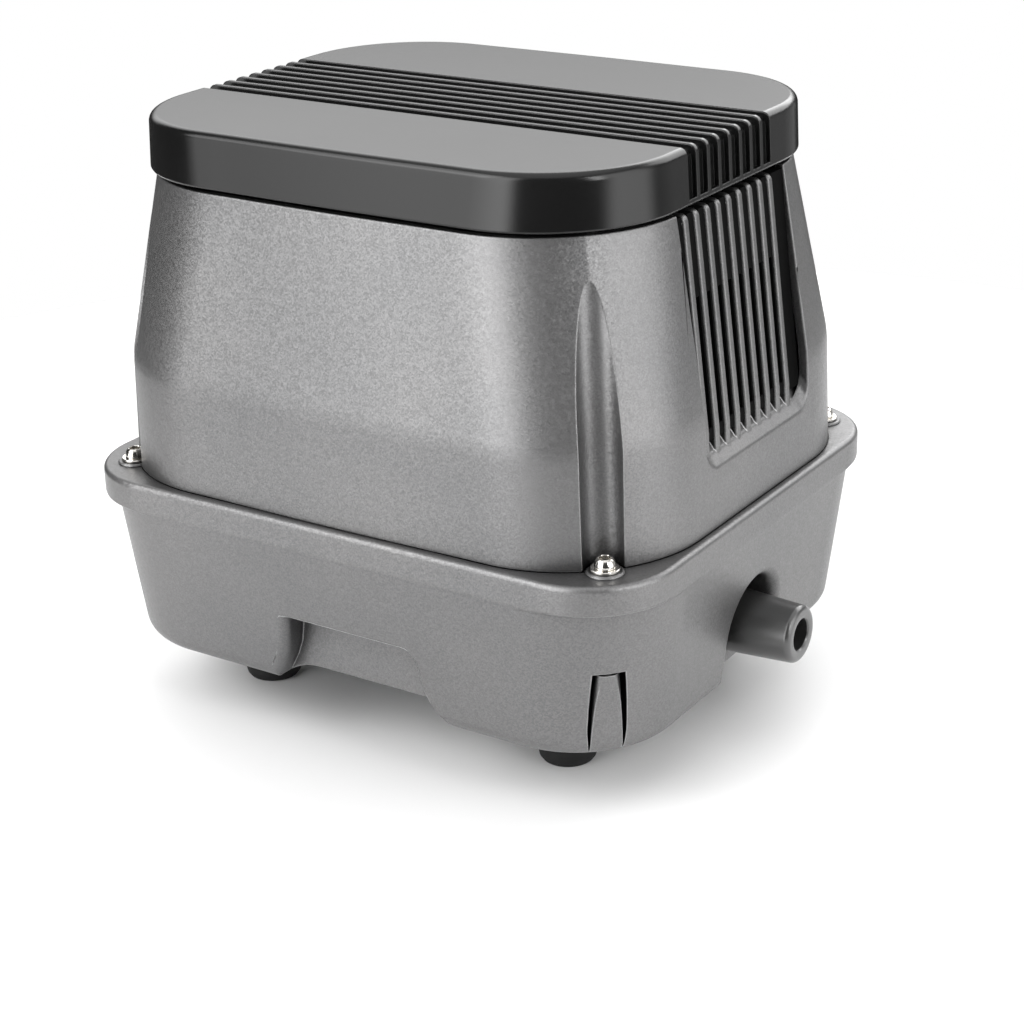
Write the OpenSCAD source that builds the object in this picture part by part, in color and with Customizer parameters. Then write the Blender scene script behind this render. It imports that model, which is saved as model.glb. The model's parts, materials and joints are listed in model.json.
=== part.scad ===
/* [Overall] */
// Length of the base flange, left to right
body_l = 205.8; // [196:0.1:216]
// Depth of the base flange, front to back
body_d = 172.4; // [164:0.1:182]
// Height of the base casting's rim above the floor
foot_h = 20; // [16:1:24]

/* [Base casting] */
// Height of the base casting, rim to flange top
base_h = 59.2; // [56:0.1:64]
// Thickness of the flange at the top of the base
flange_h = 9.5; // [7:0.5:11]
// Corner radius of the flange
flange_r = 28; // [24:1:32]
// Wall thickness of both castings
wall = 3; // [2.5:0.1:3.5]
// Width of the arch cut in the front of the base
arch_w = 50; // [40:1:60]
// Height of the arch cut above the base's rim
arch_h = 25; // [20:1:28]

/* [Upper housing] */
// Height of the upper housing above the flange
housing_h = 94.3; // [88:0.1:100]
// Height above the flange at which the walls start to lean in
break_h = 35.6; // [30:0.1:42]
// Lean of the walls between the break and the lid, per side
lean = 9.6; // [7:0.1:11]
// Vertical corner radius of the upper housing
housing_r = 45; // [40:1:48]
// Distance between the corner screws, left to right
screw_span_x = 175.2; // [172:0.1:178]
// Distance between the corner screws, front to back
screw_span_y = 141; // [138:0.1:144]

/* [Vent grille] */
// Number of fins on each side
fin_count = 9; // [7:1:9]
// Spacing of the fins and of the grooves in the lid
fin_pitch = 6.5; // [6:0.1:6.6]
// Thickness of one fin
fin_t = 3; // [2.6:0.1:3.2]

/* [Lid] */
// Height of the lid
lid_h = 16.4; // [14:0.1:20]
// Open gap between the lid and the housing
lid_gap = 1.5; // [1:0.1:2]
// Depth of the grooves across the lid
groove_depth = 1.6; // [1:0.1:2]

/* [Air outlet] */
// Outside diameter of the outlet sleeve at its end
sleeve_d = 18.4; // [16:0.1:20]
// Bore of the outlet sleeve
sleeve_bore = 10; // [9:0.1:11]
// Distance of the sleeve's end from the middle of the pump
sleeve_end_x = 115.5; // [112:0.5:120]
// Height of the outlet above the floor
outlet_z = 37; // [36:0.5:39]

/* [Drive] */
// Height of the armature's axis above the floor
motor_z = 112; // [112:1:114]
// Diameter of the diaphragms
diaphragm_d = 64; // [60:1:66]
// Diameter of the armature's studs
stud_d = 6; // [5:0.5:6]

/* [Power cord] */
// Diameter of the cord
cord_d = 6.6; // [6:0.1:7]
// Distance of the cord's floor run behind the middle of the pump
cord_y = 112; // [110:1:120]

/* [Hidden] */
$fn = 48;

skin = 0.01;                       // thickness of the slabs that a loft is hulled from
tight = 0.05;                      // clearance round a part that is held in a hole
slack = 0.15;                      // clearance round a screw's shank
m3_r = 1.5;                        // shanks of the small and large screws
m4_r = 2;

flange_z = foot_h + base_h;        // top of the base's flange
wall_top_z = flange_z - flange_h;  // where the base wall meets the flange
housing_z = flange_z + housing_h;  // top of the upper housing
break_z = flange_z + break_h;      // the soft line round the housing
lid_z = housing_z + lid_gap;       // bottom edge of the lid
lid_top_z = lid_z + lid_h;

flange_a = body_l / 2;
flange_b = body_d / 2;
foot_a = flange_a - 2.9;           // upper housing where it meets the flange
foot_b = flange_b - 3.3;
break_a = foot_a - 1.6;
break_b = foot_b + 0.4;
top_a = break_a - lean;            // upper housing under the lid
top_b = break_b - lean + 1.5;

rim_a = flange_a - 6.6;            // lower edge of the base
rim_b = flange_b - 5.9;
rim_r = 33;
rim_edge = 3.5;                    // bevel round the lower edge
rim_w = 12;                        // width of the rim under the base
arch_x = 5;                        // middle of the front arch
arch_depth = 7;
skirt_z = foot_h + 8.5;            // raised underside inside the rim
tank_floor_z = skirt_z + 3;
tank_ledge_z = 58.8;               // ledge that carries the tank plate
gasket_t = 1.2;
washer_t = 0.9;
plate_z = tank_ledge_z + gasket_t;
plate_t = 4;
isolator_h = 10;
frame_z = plate_z + plate_t + isolator_h; // underside of the motor frame
ledge_a = 92;                      // inside of the tank, at its ledge
ledge_b = 75.5;
tank_screw_x = 60;
tank_screw_y = ledge_b + 1.9;
well_a = foot_a - wall + 0.3;      // inside of the base above the ledge
well_b = foot_b - wall + 0.2;
well_r = housing_r - wall;

foot_x = 58;                       // places of the rubber feet
foot_y = 44.3;
screw_x = screw_span_x / 2;
screw_y = screw_span_y / 2;
ear_top_z = flange_z + 0.8;        // floor of each screw scoop
rebate_z = flange_z - 2.2;         // seat of the housing in the base
scoop_r = 6.2;
scoop_tilt = 3.4;
pocket_r = 6;                      // recess under each corner screw
pocket_z = 49;

vent_y0 = -31.5;                   // front and rear ends of the vent opening
vent_y1 = 34.5;
vent_z0 = flange_z + 18.5;         // lower edge of the vent opening
sill_slope = 1.2;                  // fall of the vent's sill towards the outside
sill_in = 5.5;                     // depth of the sill behind the wall's face
fin_bend_z = break_z - 7;          // the fins stand upright below this height
fin_set = 2.4;                     // distance of the fins' lower part behind the wall's face
fin_in = 3;                        // depth of a fin behind its own face
liner_in = 0.7;                    // front and back of the liner behind the fins' face
liner_back = 5;
liner_slot = 1.9;                  // width of the slots in the liner
deck_z = housing_z - 16.5;         // shelf that carries the filter
deck_t = 3;

lid_a = top_a + 0.5;               // lid at its lower edge
lid_b = top_b + 0.5;
lid_t = 2.5;
lid_skirt_a = top_a - 5.4;         // ring under the lid that centres it
lid_skirt_b = top_b - 5.4;
post_x = 74;                       // lid's support posts
post_y = 50;
foam_a = 64;
foam_b = 60;
foam_h = 25;

shaft_r = stud_d / 2;
disc_r = 13;
frame_t = 3;                       // base plate of the motor frame
plate_in = 44;                     // inner and outer faces of the frame's end plates
plate_out = 50;
head_out = 66;                     // outer face of a pump head
valve_t = 3;
valve_out = head_out + valve_t;
cover_out = 82;
head_half = 35;
cover_half = 33;
bolt_at = 29;                      // head screws, each way from the axis
flap_t = 1.2;
flap_root = 19;
flap_w = 13;
port_y = 12;
port_z = 5;
port_r = 3.5;
spigot_x = 75;
spigot_y = 15;
spigot_r = 5.5;

core_y0 = 5.2;                     // pole faces and back of a stator core
core_leg = 30;
core_y1 = 40;
core_x = 33;
core_half_t = 10;
leg_half = 5;
coil_y0 = 8;                       // winding space on the centre leg
coil_y1 = 27;
coil_half_h = 25.5;
pillar_x = 28;                     // pillars that carry the stator cores
pillar_y = 35;
isolator_x = 40;                   // rubber mounts under the motor frame
isolator_y = 36;

magnet_x = 12;                     // places and size of the magnets
magnet_l = 14;
magnet_h = 20;
carrier_half_t = 4;

nipple_r = 5.4;
bore_depth = 15.5;                 // open length of the sleeve's bore
recess_x = 88;                     // flat face behind the outlet
recess_r = 14.5;

grommet_x = -45;
grommet_z = 93;
boss_y = foot_b + 1.9;             // flat face round the cord's grommet
cord_r = cord_d / 2;
cord_bend = 14;
cord_floor_z = cord_r + 0.4;
plug_x0 = 12;
plug_l = 32;
plug_half_w = 12;
plug_h = 16;
blade_l = 16;

back_y = cord_y + plug_half_w;     // rearmost point of the pump
row_shift = [-(sleeve_end_x - flange_a) / 2, -(back_y - flange_b) / 2, 0];

silver = [0.56, 0.56, 0.57];
black = [0.05, 0.05, 0.055];
soft_black = [0.08, 0.08, 0.08];
steel = [0.72, 0.71, 0.69];
alloy = [0.78, 0.78, 0.8];
copper = [0.72, 0.38, 0.18];
nylon = [0.85, 0.84, 0.8];

// half length of the housing's side face at height z, on its flat middle
function side_x(z) =
  z >= break_z
    ? break_a - (z - break_z) / (housing_z - break_z) * (break_a - top_a)
    : break_a + (break_z - z) / break_h * (foot_a - break_a);

// flat outline with half sizes a and b and corner radius r
module outline(a, b, r) {
  square([2 * a, 2 * (b - r)], center = true);
  square([2 * (a - r), 2 * b], center = true);
  for (x = [-1, 1], y = [-1, 1]) {
    translate([x * (a - r), y * (b - r)]) circle(r);
  }
}

// upright block with that outline, from z0 to z1
module slab(a, b, r, z0, z1) {
  translate([0, 0, z0]) linear_extrude(z1 - z0) outline(a, b, r);
}

// solid between two outlines, each [a, b, r, z]
module loft(low, high) {
  hull() {
    slab(low[0], low[1], low[2], low[3], low[3] + skin, $fn = 32);
    slab(high[0], high[1], high[2], high[3] - skin, high[3], $fn = 32);
  }
}

// cylinder along X from x0 to x1, centred on y and z
module bar_x(r, x0, x1, y = 0, z = motor_z) {
  translate([x0, y, z]) rotate([0, 90, 0]) cylinder(r = r, h = x1 - x0);
}

// block between two corners
module block(low, high) {
  translate(low) cube(high - low);
}

// round wire through a list of points
module wire(points, r) {
  for (i = [0 : len(points) - 2]) {
    span = points[i + 1] - points[i];
    flat = norm([span[0], span[1]]);
    translate(points[i])
      rotate([0, atan2(flat, span[2]), atan2(span[1], span[0])])
        cylinder(r = r, h = norm(span), $fn = 24);
    if (i < len(points) - 2) translate(points[i + 1]) sphere(r = r + 0.05, $fn = 24);
  }
}

module at_corners(x, y) {
  for (i = [-1, 1], j = [-1, 1]) translate([i * x, j * y, 0]) children();
}

// puts a right-hand part on the left as well, or only there
module on_left() {
  mirror([1, 0, 0]) children();
}

// upright profile in X and Z, run along Y from y0 to y1
module rib_y(points, y0, y1) {
  translate([0, y1, 0]) rotate([90, 0, 0]) linear_extrude(y1 - y0) polygon(points);
}

// Lid

module lid_grooves() {
  for (i = [0 : fin_count - 2]) {
    y = (i - (fin_count - 2) / 2) * fin_pitch;
    groove_w = fin_pitch * 0.7;
    block([-flange_a, y - groove_w / 2, lid_top_z - groove_depth],
          [flange_a, y + groove_w / 2, lid_top_z + 1]);
    for (s = [-1, 1]) {
      block([s * (top_a + 4) - 5, y - groove_w / 2, lid_z + 1.5],
            [s * (top_a + 4) + 5, y + groove_w / 2, lid_top_z + 1]);
    }
  }
}

// the lid's outline drawn in by a distance, from z0 to z1
module lid_form(in, z0, z1) {
  loft([lid_a - in, lid_b - in, housing_r - 3 - in, z0],
       [lid_a - 1.9 - in, lid_b - 3.1 - in, housing_r - 7 - in, z1]);
}

module lid() {
  ceiling = lid_top_z - lid_t;
  color(black) {
    difference() {
      lid_form(0, lid_z, lid_top_z);
      lid_form(lid_t, lid_z - 1, ceiling);
      intersection() {
        lid_grooves();
        difference() {
          slab(flange_a, flange_b, flange_r, lid_z, lid_top_z + 1);
          slab(top_a - 2.6, flange_b, 2, lid_z, lid_top_z - groove_depth);
        }
      }
    }
    difference() {
      slab(lid_skirt_a, lid_skirt_b, housing_r - 8, lid_z - 5, ceiling + 0.1);
      slab(lid_skirt_a - 2, lid_skirt_b - 2, housing_r - 10, lid_z - 6, ceiling);
    }
    at_corners(post_x, post_y) {
      translate([0, 0, deck_z]) cylinder(r = 4, h = ceiling + 0.1 - deck_z);
    }
  }
}

module filter_foam() {
  color("dimgray") slab(foam_a, foam_b, 10, deck_z + 0.1, deck_z + 0.1 + foam_h);
}

// Upper housing

module housing_form(in, z0, z1) {
  loft([foot_a - in, foot_b - in, housing_r - in, z0],
       [break_a - in, break_b - in, housing_r - in, break_z]);
  loft([break_a - in, break_b - in, housing_r - in, break_z - 2 * skin],
       [top_a - in, top_b - in, housing_r - in, z1]);
}

// opening for the fins on the right side, with a sill that slopes outwards
module vent_opening() {
  out = flange_a + 5;
  wall_x = side_x(vent_z0);
  deep = sill_in + 1;
  rib_y([[wall_x - deep, vent_z0 + deep * sill_slope],
         [out, vent_z0 - (out - wall_x) * sill_slope],
         [out, housing_z + 1],
         [top_a - deep, housing_z + 1],
         [break_a - deep, break_z]],
        vent_y0, vent_y1);
}

// thicker wall under the sill, which holds the fins' lower ends
module sill_ledge() {
  wall_x = side_x(vent_z0);
  rib_y([[wall_x - 1, vent_z0 - 6], [wall_x - 1, vent_z0 + 8],
         [wall_x - sill_in, vent_z0 + 8], [wall_x - sill_in, vent_z0 - 1]],
        vent_y0 - 1, vent_y1 + 1);
}

// face of the fins: level with the wall at the top, behind it at the bottom
fin_bend_x = side_x(fin_bend_z) - fin_set;
fin_top_x = top_a - 0.15;
function fin_x(z) =
  z > fin_bend_z
    ? fin_bend_x - (z - fin_bend_z) / (housing_z - fin_bend_z) * (fin_bend_x - fin_top_x)
    : side_x(z) - fin_set;

// profile between two depths behind the fins' face, cut at z0 and z1
function behind_fins(d0, d1, z0, z1) =
  let (bend = z0 < fin_bend_z ? [fin_bend_x, fin_bend_z] : [fin_x((z0 + z1) / 2), (z0 + z1) / 2])
  [[fin_x(z0) - d1, z0], [fin_x(z0) - d0, z0], bend - [d0, 0],
   [fin_x(z1) - d0, z1], [fin_x(z1) - d1, z1], bend - [d1, 0]];

function fin_y(i) = (i - (fin_count - 1) / 2) * fin_pitch - 0.5;

module fins() {
  round_r = 2.4;
  top = housing_z - 0.8;
  for (i = [0 : fin_count - 1]) {
    rib_y(behind_fins(0, fin_in, vent_z0 - 1, top - round_r),
          fin_y(i) - fin_t / 2, fin_y(i) + fin_t / 2);
    rib_y([[fin_x(top) - fin_in - 1.2, deck_z - 1],
           [fin_x(deck_z) - 1, deck_z - 1],
           [fin_x(top - round_r), top - round_r],
           for (t = [15 : 15 : 90])
             [fin_x(top) - round_r * (1 - cos(t)), top - round_r + round_r * sin(t)],
           [fin_x(top) - fin_in - 1.2, top]],
          fin_y(i) - fin_t / 2, fin_y(i) + fin_t / 2);
  }
}

module on_both_sides() {
  children();
  mirror([1, 0, 0]) children();
}

// leaning cylinders that cut the hollows above the corner screws
module scoops(r, z0, z1) {
  for (i = [-1, 1], j = [-1, 1]) {
    diagonal = atan2(j * screw_y, i * screw_x);
    translate([i * screw_x, j * screw_y, ear_top_z])
      rotate([0, 0, diagonal])
        rotate([0, -scoop_tilt, 0])
          translate([0, 0, z0 - ear_top_z])
            cylinder(r = r, h = z1 - z0);
  }
}

module deck_slots() {
  for (i = [-2 : 2]) {
    block([i * 16 - 3, -30, deck_z - deck_t - 1], [i * 16 + 3, 30, deck_z + 1]);
  }
}

module upper_housing() {
  seat_z = rebate_z + gasket_t;
  color(silver) {
    difference() {
      union() {
        difference() {
          housing_form(0, seat_z, housing_z);
          difference() {
            housing_form(wall, seat_z - 3, housing_z + 1);
            slab(flange_a, flange_b, flange_r, deck_z - deck_t, deck_z);
            on_both_sides() sill_ledge();
          }
          on_both_sides() vent_opening();
        }
        intersection() {
          housing_form(0, seat_z, housing_z);
          scoops(scoop_r + 2.6, seat_z, deck_z);
        }
        at_corners(screw_x, screw_y) {
          translate([0, 0, seat_z]) cylinder(r = 5.4, h = ear_top_z - seat_z);
        }
        on_both_sides() fins();
        translate([grommet_x, 0, grommet_z]) rotate([-90, 0, 0]) {
          translate([0, 0, foot_b - wall - 1]) cylinder(r = 11.5, h = boss_y - foot_b + wall + 1);
        }
      }
      scoops(scoop_r, ear_top_z, housing_z + 20);
      at_corners(screw_x, screw_y) {
        translate([0, 0, seat_z - 1]) cylinder(r = m4_r + slack, h = 10);
        translate([0, 0, ear_top_z]) cylinder(r = 5.2, h = 8);
      }
      deck_slots();
      translate([grommet_x, 0, grommet_z]) rotate([-90, 0, 0]) {
        translate([0, 0, foot_b - 8]) cylinder(r = 6, h = 16);
      }
    }
  }
}

module vent_liner() {
  low_z = vent_z0 + sill_in * sill_slope + 0.4;
  color(black) difference() {
    union() {
      rib_y(behind_fins(liner_in, liner_back, low_z, deck_z - deck_t - 0.3),
            vent_y0 + 0.3, vent_y1 - 0.3);
      rib_y(behind_fins(liner_in, fin_in + 0.3, deck_z - deck_t - 1, housing_z - 1.2),
            vent_y0 + 0.3, vent_y1 - 0.3);
    }
    for (i = [0 : fin_count - 1]) {
      rib_y(behind_fins(-1, fin_in + 0.3 - tight, vent_z0, deck_z - 2 * deck_t),
            fin_y(i) - fin_t / 2 - 0.1, fin_y(i) + fin_t / 2 + 0.1);
      rib_y(behind_fins(-1, liner_back + 1, deck_z - 2 * deck_t - 1, housing_z),
            fin_y(i) - fin_t / 2 - 0.1, fin_y(i) + fin_t / 2 + 0.1);
    }
    for (i = [0 : fin_count - 2]) {
      middle = (fin_y(i) + fin_y(i + 1)) / 2;
      rib_y(behind_fins(-1, liner_back + 1, low_z + 4, deck_z - 3 * deck_t),
            middle - liner_slot / 2, middle + liner_slot / 2);
    }
  }
}

module vent_liner_right() { vent_liner(); }
module vent_liner_left() { on_left() vent_liner(); }

module housing_screws() {
  head_z = ear_top_z + washer_t;
  low_z = 60;
  head_r = 3.2;
  crown = 1.2;
  socket_r = 1.5;
  color(steel) at_corners(screw_x, screw_y) {
    difference() {
      union() {
        translate([0, 0, low_z]) cylinder(r = m4_r, h = head_z - low_z);
        translate([0, 0, head_z]) cylinder(r = head_r, h = 2);
        translate([0, 0, head_z + 2]) cylinder(r1 = head_r, r2 = head_r - 1, h = crown);
      }
      translate([0, 0, head_z + crown]) cylinder(r = socket_r, h = 4, $fn = 6);
    }
  }
}

module housing_washers() {
  color(steel) at_corners(screw_x, screw_y) {
    translate([0, 0, ear_top_z]) difference() {
      cylinder(r = 4.4, h = washer_t);
      translate([0, 0, -1]) cylinder(r = m4_r + slack, h = 4);
    }
  }
}

module housing_gasket() {
  color(soft_black) difference() {
    union() {
      difference() {
        slab(foot_a - 0.3, foot_b - 0.3, housing_r, rebate_z, rebate_z + gasket_t);
        slab(foot_a - wall, foot_b - wall, housing_r - wall, rebate_z - 1, rebate_z + 3);
      }
      at_corners(screw_x, screw_y) {
        translate([0, 0, rebate_z]) cylinder(r = 5.4, h = gasket_t);
      }
    }
    at_corners(screw_x, screw_y) {
      translate([0, 0, rebate_z - 1]) cylinder(r = m4_r + slack, h = 4);
    }
  }
}

// Base casting and air tank

// recess in the front wall, open below
module front_arch(grow) {
  half_w = arch_w / 2 + grow;
  block([arch_x - half_w, -flange_b - 1, foot_h - 1],
        [arch_x + half_w, -rim_b + arch_depth + grow, foot_h + arch_h + grow]);
}

module outlet_recess(grow) {
  x0 = recess_x - grow;
  x1 = flange_a + 1;
  r = recess_r + grow;
  bar_x(r, x0, x1, 0, outlet_z + 1);
  block([x0, -r, foot_h - 1], [x1, r, outlet_z + 1]);
}

module corner_pockets() {
  at_corners(screw_x, screw_y) {
    difference() {
      translate([0, 0, foot_h - 1]) cylinder(r = pocket_r, h = pocket_z - foot_h + 1);
      translate([0, 0, foot_h - 2]) cylinder(r1 = 5.2, r2 = 4.2, h = pocket_z - foot_h + 2.1);
    }
  }
}

// the same cylinder at each of the tank plate's screws
module at_tank_screws(r, z0, z1) {
  for (x = [-tank_screw_x, 0, tank_screw_x], y = [-tank_screw_y, tank_screw_y]) {
    translate([x, y, z0]) cylinder(r = r, h = z1 - z0);
  }
}

module lower_housing() {
  color(silver) difference() {
    union() {
      difference() {
        union() {
          loft([rim_a - rim_edge, rim_b - rim_edge, rim_r - rim_edge, foot_h],
               [rim_a + 0.5, rim_b + 0.5, rim_r, foot_h + rim_edge + skin]);
          loft([rim_a + 0.5, rim_b + 0.5, rim_r, foot_h + rim_edge],
               [flange_a, flange_b, 37, wall_top_z + 1]);
          slab(flange_a, flange_b, flange_r, wall_top_z, flange_z);
        }
        difference() {
          loft([rim_a - wall - 1, rim_b - wall - 1, rim_r, tank_floor_z],
               [ledge_a, ledge_b, 35, tank_ledge_z + 1]);
          front_arch(wall);
          outlet_recess(wall);
        }
        slab(well_a, well_b, well_r, tank_ledge_z, flange_z + 1);
        slab(rim_a - rim_w, rim_b - rim_w, 20, foot_h - 1, skirt_z);
      }
      at_corners(foot_x, foot_y) {
        translate([0, 0, foot_h + 2]) cylinder(r = 8, h = skirt_z - foot_h);
      }
      at_corners(screw_x, screw_y) {
        translate([0, 0, pocket_z]) cylinder(r = 6.5, h = rebate_z - pocket_z);
      }
    }
    slab(foot_a + 0.7, foot_b + 0.7, housing_r + 0.7, rebate_z, flange_z + 1);
    front_arch(0);
    outlet_recess(0);
    corner_pockets();
    bar_x(nipple_r + tight, recess_x - 8, recess_x + 1, 0, outlet_z);
    at_corners(screw_x, screw_y) {
      translate([0, 0, rebate_z - 1]) cylinder(r = 6.2, h = 6);
      translate([0, 0, pocket_z + 8]) cylinder(r = m4_r + tight, h = 40);
    }
    at_corners(foot_x, foot_y) {
      translate([0, 0, foot_h]) cylinder(r = m3_r + tight, h = 9.5);
    }
    at_tank_screws(m3_r + tight, tank_ledge_z - 8, tank_ledge_z + 1);
  }
}

module tank_cover(z0, z1) {
  difference() {
    slab(well_a - 0.8, well_b - 0.8, well_r, z0, z1);
    at_corners(screw_x, screw_y) translate([0, 0, z0 - 1]) cylinder(r = 7, h = z1 - z0 + 2);
    at_tank_screws(m3_r + slack, z0 - 1, z1 + 1);
  }
}

module tank_gasket() {
  color(soft_black) difference() {
    tank_cover(tank_ledge_z, plate_z);
    slab(ledge_a, ledge_b - 1.5, 35, tank_ledge_z - 1, plate_z + 1);
  }
}

module tank_plate() {
  color(alloy) difference() {
    union() {
      tank_cover(plate_z, plate_z + plate_t);
      for (s = [-1, 1]) {
        translate([s * spigot_x, spigot_y, plate_z]) cylinder(r = spigot_r, h = plate_t + 6);
      }
    }
    for (s = [-1, 1]) {
      translate([s * spigot_x, spigot_y, plate_z - 1]) cylinder(r = port_r, h = plate_t + 9);
    }
    at_corners(isolator_x, isolator_y) {
      translate([0, 0, plate_z - 1]) cylinder(r = m3_r + tight, h = plate_t + 2);
    }
  }
}

module tank_screws() {
  color(steel) {
    at_tank_screws(m3_r, tank_ledge_z - 7, plate_z + plate_t);
    at_tank_screws(2.2, plate_z + plate_t, plate_z + plate_t + 2);
  }
}

module rubber_feet() {
  seat = foot_h + 2;
  color(soft_black) at_corners(foot_x, foot_y) difference() {
    rotate_extrude() {
      polygon([[0, 0], [7.2, 0], [8.6, 0.8], [9.2, 2.4], [9.4, 6.4], [9.9, 7.2],
               [11, 7.8], [11.6, 9], [11.8, 16], [11.2, seat - 3], [9.5, seat - 0.05],
               [0, seat - 0.05]]);
    }
    translate([0, 0, -1]) cylinder(r = 3.6, h = 9);
    cylinder(r = m3_r + slack, h = seat + 1);
  }
}

module foot_screws() {
  color(steel) at_corners(foot_x, foot_y) {
    translate([0, 0, 5.8]) cylinder(r = 3.2, h = 2.2);
    translate([0, 0, 7]) cylinder(r = m3_r, h = foot_h + 1.8);
  }
}

module outlet_nipple() {
  color(black) difference() {
    union() {
      bar_x(nipple_r, recess_x - 5.5, sleeve_end_x - bore_depth - 0.5, 0, outlet_z);
      bar_x(9.4, recess_x, recess_x + 1.6, 0, outlet_z);
    }
    bar_x(4, recess_x - 7, sleeve_end_x - 10, 0, outlet_z);
  }
}

module outlet_sleeve() {
  root_x = recess_x + 1.7;
  length = sleeve_end_x - root_x;
  r = sleeve_d / 2;
  lip = 1.5;
  color(soft_black) difference() {
    translate([root_x, 0, outlet_z]) rotate([0, 90, 0]) rotate_extrude() {
      polygon([[0, 0], [r + 1.1, 0], [r, length - lip], [0, length - lip]]);
      translate([0, length - lip]) square([r - lip, lip]);
      translate([r - lip, length - lip]) circle(lip);
    }
    bar_x(sleeve_bore / 2, sleeve_end_x - bore_depth, sleeve_end_x + 1, 0, outlet_z);
    bar_x(nipple_r + tight, root_x - 1, sleeve_end_x - bore_depth + 0.1, 0, outlet_z);
  }
}

// Drive

module isolators() {
  h = isolator_h - 0.1;
  pad_r = 7;
  pad_t = 3;
  color(soft_black) at_corners(isolator_x, isolator_y) {
    translate([0, 0, plate_z + plate_t]) difference() {
      union() {
        cylinder(r = pad_r, h = pad_t);
        cylinder(r = pad_r - 1.8, h = h);
        translate([0, 0, h - pad_t + 0.1]) cylinder(r = pad_r, h = pad_t - 0.1);
      }
      translate([0, 0, -1]) cylinder(r = m3_r + slack, h = h + 2);
    }
  }
}

module isolator_screws() {
  low_z = plate_z + 0.5;
  seat = frame_z + frame_t;
  color(steel) at_corners(isolator_x, isolator_y) {
    translate([0, 0, low_z]) cylinder(r = m3_r, h = seat - low_z);
    translate([0, 0, seat]) cylinder(r = 2.8, h = 2);
  }
}

module motor_frame() {
  base_b = 46;
  end_b = 38;
  end_top = motor_z + 36;
  window_r = 25;
  color(alloy) difference() {
    union() {
      block([-plate_out, -base_b, frame_z], [plate_out, base_b, frame_z + frame_t]);
      block([-plate_out, -end_b, frame_z], [-plate_in, end_b, end_top]);
      block([plate_in, -end_b, frame_z], [plate_out, end_b, end_top]);
      at_corners(pillar_x, pillar_y) {
        translate([0, 0, frame_z]) cylinder(r = 5, h = motor_z - core_half_t - frame_z);
      }
    }
    bar_x(window_r, -plate_out - 1, plate_out + 1);
    for (y = [-1, 1], z = [-1, 1]) {
      bar_x(m4_r + tight, -plate_out - 1, -plate_in + 1, y * bolt_at, motor_z + z * bolt_at);
      bar_x(m4_r + tight, plate_in - 1, plate_out + 1, y * bolt_at, motor_z + z * bolt_at);
    }
    at_corners(isolator_x, isolator_y) {
      translate([0, 0, frame_z - 1]) cylinder(r = m3_r + slack, h = 6);
    }
    at_corners(pillar_x, pillar_y) {
      translate([0, 0, frame_z + 8]) cylinder(r = m4_r + tight, h = 40);
    }
  }
}

module stator_core() {
  color("slategray") difference() {
    union() {
      block([-core_x, core_leg, motor_z - core_half_t], [core_x, core_y1, motor_z + core_half_t]);
      for (x = [-pillar_x, 0, pillar_x]) {
        block([x - leg_half, core_y0, motor_z - core_half_t],
              [x + leg_half, core_leg + 1, motor_z + core_half_t]);
      }
    }
    for (x = [-pillar_x, pillar_x]) {
      translate([x, pillar_y, motor_z - 20]) cylinder(r = m4_r + slack, h = 40);
    }
  }
}

module stator_core_rear() { stator_core(); }
module stator_core_front() { mirror([0, 1, 0]) stator_core(); }

// ring of rectangular section round a centre leg, between two half sizes
module leg_ring(inner, outer, y0, y1) {
  difference() {
    block([-outer[0], y0, motor_z - outer[1]], [outer[0], y1, motor_z + outer[1]]);
    block([-inner[0], y0 - 1, motor_z - inner[1]], [inner[0], y1 + 1, motor_z + inner[1]]);
  }
}

module bobbin() {
  hole = [leg_half + 0.2, core_half_t + 0.2];
  flange = [22, 27];
  flange_t = 1.5;
  color(nylon) {
    leg_ring(hole, flange, coil_y0 - flange_t, coil_y0);
    leg_ring(hole, flange, coil_y1, coil_y1 + flange_t);
    leg_ring(hole, hole + [1.2, 1.2], coil_y0 - 1, coil_y1 + 1);
  }
}

module bobbin_rear() { bobbin(); }
module bobbin_front() { mirror([0, 1, 0]) bobbin(); }

module coil() {
  hole = [leg_half + 1.5, core_half_t + 1.5];
  color(copper) leg_ring(hole, [20.5, coil_half_h], coil_y0 + 0.1, coil_y1 - 0.1);
}

module coil_rear() { coil(); }
module coil_front() { mirror([0, 1, 0]) coil(); }

module core_screws() {
  top = motor_z + core_half_t;
  color(steel) at_corners(pillar_x, pillar_y) {
    translate([0, 0, frame_z + 14]) cylinder(r = m4_r, h = top - frame_z - 14);
    translate([0, 0, top]) cylinder(r = 3.5, h = 3);
  }
}

module magnet_carrier() {
  end_x = 36;
  color(alloy) difference() {
    union() {
      block([-end_x, -carrier_half_t, motor_z - 14], [end_x, carrier_half_t, motor_z + 14]);
      bar_x(carrier_half_t + 0.8, -end_x - 3, end_x + 3);
    }
    for (s = [-1, 1]) {
      block([s * magnet_x - magnet_l / 2, -9, motor_z - magnet_h / 2],
            [s * magnet_x + magnet_l / 2, 9, motor_z + magnet_h / 2]);
      bar_x(shaft_r + tight, s > 0 ? 23 : -end_x - 4, s > 0 ? end_x + 4 : -23);
    }
  }
}

module magnets() {
  in = tight;
  color("darkslategray") for (s = [-1, 1]) {
    block([s * magnet_x - magnet_l / 2 + in, -carrier_half_t, motor_z - magnet_h / 2 + in],
          [s * magnet_x + magnet_l / 2 - in, carrier_half_t, motor_z + magnet_h / 2 - in]);
  }
}

module armature_studs() {
  color(steel) for (s = [0, 1]) mirror([s, 0, 0]) bar_x(shaft_r, 24, 60);
}

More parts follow.
